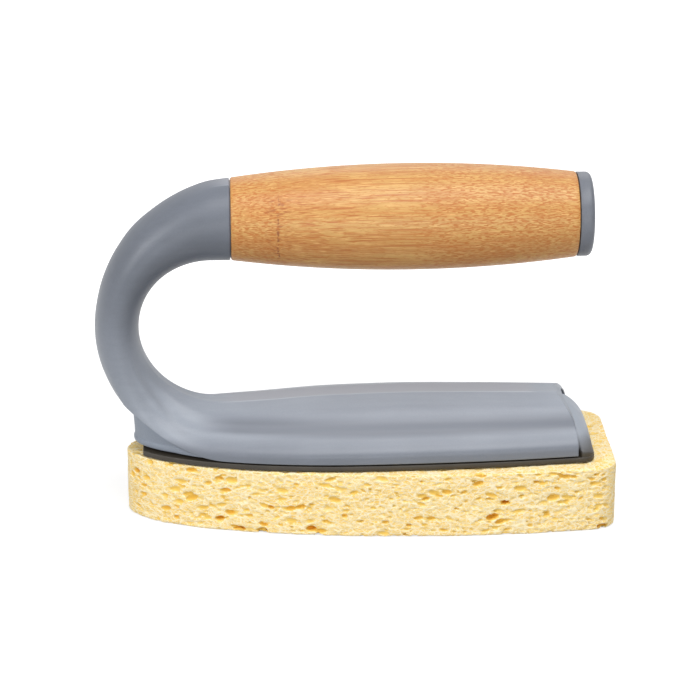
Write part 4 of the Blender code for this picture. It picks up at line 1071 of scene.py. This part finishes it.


# Sponge: a block of pale yellow cellulose foam, cut to an iron's outline and glued under the plate.
# Its lens-shaped pores lie flat in rough layers, and painted warm shade fills the deeper ones and small
# pits.
SPONGE_NOSE = -84.7 * MM
SPONGE_WIDEST = 36.0 * MM
SPONGE_END = 96.3 * MM
SPONGE_HALF = 33.1 * MM
SPONGE_TAIL = 120.0 * MM
SPONGE_CORNER = 9.0 * MM
SPONGE_TOP = 24.5 * MM
SPACING = 0.38 * MM             # between neighbouring points of its skin


def sponge_outline():
    """Half the plan outline from the nose to the tail's corner: a quarter ellipse, a flatter one and a
    round corner, spaced evenly along its length, and its outward normals."""
    turn = np.linspace(0, math.pi / 2, 4000)
    x = np.concatenate([SPONGE_WIDEST - (SPONGE_WIDEST - SPONGE_NOSE) * np.cos(turn),
                        np.linspace(SPONGE_WIDEST, SPONGE_END - SPONGE_CORNER, 1500)[1:]])
    front = np.clip((SPONGE_WIDEST - x) / (SPONGE_WIDEST - SPONGE_NOSE), 0, 1)
    rear = np.clip((x - SPONGE_WIDEST) / SPONGE_TAIL, 0, 1)
    y = SPONGE_HALF * np.sqrt(1 - np.maximum(front, rear) ** 2)
    bend = np.linspace(0, math.pi / 2, 400)[1:]
    x = np.concatenate([x, SPONGE_END - SPONGE_CORNER * (1 - np.sin(bend))])
    y = np.concatenate([y, y[-1] - SPONGE_CORNER * (1 - np.cos(bend))])
    length = np.concatenate([[0], np.cumsum(np.hypot(np.diff(x), np.diff(y)))])
    even = np.linspace(0, length[-1], int(length[-1] / SPACING))
    x = np.interp(even, length, x)
    y = np.interp(even, length, y)
    run = unit(np.stack([np.gradient(x), np.gradient(y)], -1))
    run[0] = (0, 1)
    run[-1] = (0, -1)
    return x, y, np.stack([-run[:, 1], run[:, 0]], -1)


edge_x, edge_y, edge_out = sponge_outline()
columns = np.linspace(-1, 1, 116)

# Up the wall: a small fillet at the sole, the plain wall, and the same fillet at the top, each level
# with how far it stands in from the outline and how far its normal tilts up
fillet = np.radians(np.linspace(0, 90, 5))
soft_edge = 0.7 * MM
wall_levels = np.linspace(soft_edge, SPONGE_TOP - soft_edge, int((SPONGE_TOP - 2 * soft_edge) / SPACING))
set_in = np.concatenate([soft_edge * (1 - np.sin(fillet)), np.zeros(len(wall_levels) - 2),
                         soft_edge * (1 - np.cos(fillet))])
levels = np.concatenate([soft_edge * (1 - np.cos(fillet)), wall_levels[1:-1],
                         SPONGE_TOP - soft_edge * (1 - np.sin(fillet))])
tilt = np.concatenate([-np.cos(fillet), np.zeros(len(wall_levels) - 2), np.sin(fillet)])

# Round the outline: up one side from the nose, across the tail, and back down the other side
tail = columns[-2:0:-1]
ring_x = np.concatenate([edge_x, np.full(len(tail), SPONGE_END), edge_x[::-1]])
ring_y = np.concatenate([edge_y, edge_y[-1] * tail, -edge_y[::-1]])
ring_out = np.concatenate([edge_out, np.tile((1.0, 0.0), (len(tail), 1)), edge_out[::-1] * (1, -1)])
flat = np.sqrt(1 - tilt ** 2)[:, None]
wall_shape = (len(levels), len(ring_x))
wall_points = np.stack([ring_x - ring_out[:, 0] * set_in[:, None],
                        ring_y - ring_out[:, 1] * set_in[:, None],
                        np.broadcast_to(levels[:, None], wall_shape)], -1)
wall_normals = np.stack([ring_out[:, 0] * flat, ring_out[:, 1] * flat,
                         np.broadcast_to(tilt[:, None], wall_shape)], -1)

# The sole is rows of points across the block, and the top is the same rows at its height
face_x = edge_x - edge_out[:, 0] * soft_edge
face_y = np.maximum(edge_y - edge_out[:, 1] * soft_edge, 0)[:, None] * columns
sole = np.stack([np.broadcast_to(face_x[:, None], face_y.shape), face_y, np.zeros(face_y.shape)], -1)
up = np.broadcast_to((0.0, 0.0, 1.0), sole.shape)
grids = [wall_points, sole + (0, 0, SPONGE_TOP), sole]
points = np.concatenate([grid.reshape(-1, 3) for grid in grids])
normals = np.concatenate([grid.reshape(-1, 3) for grid in (wall_normals, up, -up)])


def lattice(cell, salt):
    """A fixed random number from 0 to 1 for each whole-numbered cell, by multiplying and folding."""
    mixed = np.bitwise_xor.reduce(cell * (73856093, 19349663, 83492791), -1) ^ (salt * 2654435761)
    mixed = (mixed ^ (mixed >> 13)) * 1274126177 & 0xFFFFFFFF
    return ((mixed ^ (mixed >> 16)) & 0xFFFFFF) / 0xFFFFFF


def ripple(where, size, salt):
    """Value noise in cells of that size in millimetres: each cell corner's random number, blended
    across the cell by smooth steps."""
    scaled = where / (np.array(size) * MM)
    cell = np.floor(scaled).astype(np.int64)
    part = scaled - cell
    part = part * part * (3 - 2 * part)
    total = 0.0
    for corner in np.ndindex(2, 2, 2):
        weight = np.prod(np.where(corner, part, 1 - part), axis=-1)
        total = total + weight * lattice(cell + np.array(corner), salt)
    return total


def pits(where, size, radius, salt, share):
    """Small round pits in cells of that size in millimetres: one point strewn in each cell, and
    1 - (distance / radius)^2 around it. Only the given share of the cells has one."""
    scaled = where / (np.array(size) * MM)
    cell = np.floor(scaled).astype(np.int64)
    deepest = np.zeros(len(where))
    for step in np.ndindex(3, 3, 3):
        near = cell + np.array(step) - 1
        spot = near + np.stack([lattice(near, salt + k) for k in range(3)], -1)
        gap = ((scaled - spot) ** 2).sum(-1)
        size_here = radius * (0.55 + 0.6 * lattice(near, salt + 3))
        pit = np.clip(1 - gap / size_here ** 2, 0, 1) * size_here
        deepest = np.maximum(deepest, np.where(lattice(near, salt + 4) < share, pit, 0))
    return deepest


# Pores: flat ellipsoids strewn through the block, in three sizes. Each surface point that lies in one
# sinks along its normal to the pore's far side, or only part of the way. A size is its density, its
# least and greatest radius in millimetres, and its height as a share of its width
BLOCK_VOLUME = 180 * 66 * 24.5  # cubic millimetres
PORE_SIZES = ((0.286, 0.4, 0.8, 0.50), (0.099, 0.8, 1.5, 0.42), (0.0209, 1.5, 2.8, 0.42))
chance = np.random.default_rng(7)
order = np.argsort(points[:, 0])
sorted_x = points[order, 0]
sunk = np.zeros(len(points))
for density, low, high, flatness in PORE_SIZES:
    reach = high * 0.5 * MM
    count = int(density * BLOCK_VOLUME / (high * 0.5))
    spots = chance.uniform((SPONGE_NOSE, -SPONGE_HALF, 0),
                           (SPONGE_END, SPONGE_HALF, SPONGE_TOP), (count, 3))
    near_side = np.abs(np.abs(spots[:, 1]) - np.interp(spots[:, 0], edge_x[:-30], edge_y[:-30])) < reach
    near_flat = (spots[:, 2] < reach * flatness) | (spots[:, 2] > SPONGE_TOP - reach * flatness)
    near_tail = spots[:, 0] > SPONGE_END - reach
    spots = spots[near_side | near_flat | near_tail]
    wide = chance.uniform(low, high, len(spots)) * MM
    deep = wide * chance.uniform(0.4, 0.8, len(spots))
    tall = wide * flatness * chance.uniform(0.7, 1.3, len(spots))
    lean = chance.normal(0, 0.16, len(spots))
    part = 0.25 + 0.75 * chance.uniform(0, 1, len(spots)) ** 2.2
    for spot, a, b, c, slant, open_part in zip(spots, wide, deep, tall, lean, part):
        first, last = np.searchsorted(sorted_x, (spot[0] - a, spot[0] + a))
        picked = order[first:last]
        from_spot = points[picked] - spot
        from_spot[:, 2] -= slant * from_spot[:, 0]
        size = np.array((a, b, c))
        start = from_spot / size
        inside = (start ** 2).sum(1) < 1
        picked = picked[inside]
        start = start[inside]
        direction = normals[picked] / size
        lead = (start * direction).sum(1)
        square = (direction ** 2).sum(1)
        left = 1 - (start ** 2).sum(1)
        depth = (lead + np.sqrt(lead ** 2 + square * left)) / square
        sunk[picked] = np.maximum(sunk[picked], open_part * depth * np.minimum(1, left * 3.5) ** 0.6)

# Between the pores lie small pits and a grain, which fade out inside a pore, and the whole skin swells
# a little. Under the plate the top stays flat, and nothing stands out below the sole
coarse = pits(points, (2.3, 2.1, 0.95), 0.72, 11, 0.85)
fine = pits(points, (1.3, 1.2, 0.70), 0.72, 23, 0.9)
grain = ripple(points, (0.62, 0.62, 0.45), 31)
swell = ripple(points, (9.0, 9.0, 6.0), 37) * 0.6 + ripple(points, (3.5, 3.5, 2.2), 41) * 0.4
small = coarse * 0.23 * MM + fine * 0.10 * MM + (grain - 0.5) * 0.05 * MM
sunk = np.minimum(sunk, 3.0 * MM)
depth = sunk + small * np.exp(-sunk / (0.8 * MM)) + (swell - 0.5) * 0.5 * MM
x, y = points[:, 0], points[:, 1]
hidden = (normals[:, 2] > 0.9) & (np.abs(y) < half_plan(x) - 1.5 * MM)
hidden &= (x > FLANGE_START + 1.5 * MM) & (x < HEAD_END - 1.5 * MM)
depth = np.where(hidden, 0.0, depth)
depth = np.where(normals[:, 2] < -0.9, np.maximum(depth, 0), depth)
placed = points - normals * depth[:, None]

# The points back in their grids, and for the colours how deep each lies in a pore or in a small pit
split = np.cumsum([grid.shape[0] * grid.shape[1] for grid in grids])[:-1]
placed = [part.reshape(grid.shape) for part, grid in zip(np.split(placed, split), grids)]
pore = np.split(np.clip(sunk / (2.6 * MM), 0, 1), split)
nick = np.split(np.clip(small / (0.24 * MM), 0, 1), split)


def cells(place, size, stretch, warp, feature="F1", out="Distance"):
    """Cells round points strewn about size metres apart, in a place that is pushed about by up to
    half the warp: the distance to the nearest point or to the cell's edge, or its random colour."""
    scale = [1 / (size * part) for part in stretch]
    drift = place.node("ShaderNodeTexNoise", {}, {"Vector": place, "Scale": 0.5 / size}, "Color")
    moved = place.node("ShaderNodeVectorMath", {"operation": "MULTIPLY_ADD"},
                       {0: drift, 1: (warp,) * 3, 2: place})
    where = place.node("ShaderNodeMapping", {}, {"Vector": moved, "Scale": scale})
    return place.node("ShaderNodeTexVoronoi", {"feature": feature}, {"Vector": where, "Scale": 1.0}, out)


def kept(place, name):
    """A number stored on the mesh's points under that name."""
    return place.node("ShaderNodeAttribute", {"attribute_name": name}, {}, "Fac")


sponge_yellow, place = new_finish("cellulose_sponge", Specular_IOR_Level=0.2)
pore_depth = kept(place, "pore")
nick_depth = kept(place, "nick")
cloud = noise(place, 9 * MM, 2.0, stretch=(1.6, 1.6, 1))
grit = noise(place, 0.40 * MM, 2.0, stretch=(1.5, 1.5, 1))
stretch = (1.5, 1.5, 0.62)
lens = cells(place, 2.3 * MM, stretch, warp=2.4 * MM, feature="DISTANCE_TO_EDGE")
pock = cells(place, 1.1 * MM, stretch, warp=1.2 * MM, feature="DISTANCE_TO_EDGE")
tint = cells(place, 1.1 * MM, stretch, warp=1.2 * MM, out="Color")
wall = lens.step(0.10, 0.01).most(pock.step(0.13, 0.01) * 0.8)
cream = cloud.step(0.3, 0.7).blend(linear(249, 222, 150), linear(246, 211, 128))
# Painted shade: the small pits turn a deeper golden yellow, as the foam's warm shade
cream = (nick_depth.step(0.15, 0.85) * 0.75).blend(cream, linear(250, 208, 106))
cream = (tint.step(0.50, 0.95) * pock.step(0.06, 0.30) * 0.8).blend(cream, linear(244, 200, 98))
cream = (wall * 0.8).blend(cream, linear(253, 244, 216))
# Painted warm shade in the pores, by their depth: pale yellow at the rim through to orange-brown in the
# deepest
hollow = pore_depth * 0.85 + grit * 0.2
stops = ((0.0, linear(250, 222, 140)[:3]), (0.28, linear(244, 204, 104)[:3]),
         (0.55, linear(236, 182, 70)[:3]), (0.80, linear(212, 138, 34)[:3]), (1.0, linear(172, 92, 14)[:3]))
pore_shade = hollow.node("ShaderNodeValToRGB", {"stops": stops}, {"Fac": hollow}, "Color")
feed(Base_Color=pore_depth.step(0.02, 0.20).blend(cream, pore_shade), Roughness=0.86 + 0.1 * grit)
bumps(wall * 0.8 + grit * 0.2, 0.07 * MM)
sponge_mesh = mesh_of("sponge_block", placed, {"pore": pore, "nick": nick}, weld=4e-7, sharp=180)
block = add_piece("sponge_block", sponge_mesh, sponge_yellow, "cellulose", "head", "sponge")


# Hardware in the grip: a knurled brass insert in the spigot, a steel rod, a washer and a nut, which
# pull the bamboo against the neck. They keep the CAD's shapes.
brass, place = new_finish("turned_brass", Metallic=1.0)
ring_marks = noise(place, 0.2 * MM, 2.0, stretch=(1, 8, 8))
feed(Base_Color=ring_marks.step(0.3, 0.7).blend(linear(214, 178, 104), linear(196, 158, 84)),
     Roughness=0.24 + 0.14 * ring_marks)
bumps(ring_marks, 0.012 * MM)
for node, metal in (("threaded_insert", brass), ("tie_rod", zinc), ("rod_washer", zinc), ("rod_nut", zinc)):
    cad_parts[node].data.materials.clear()
    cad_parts[node].data.materials.append(metal)
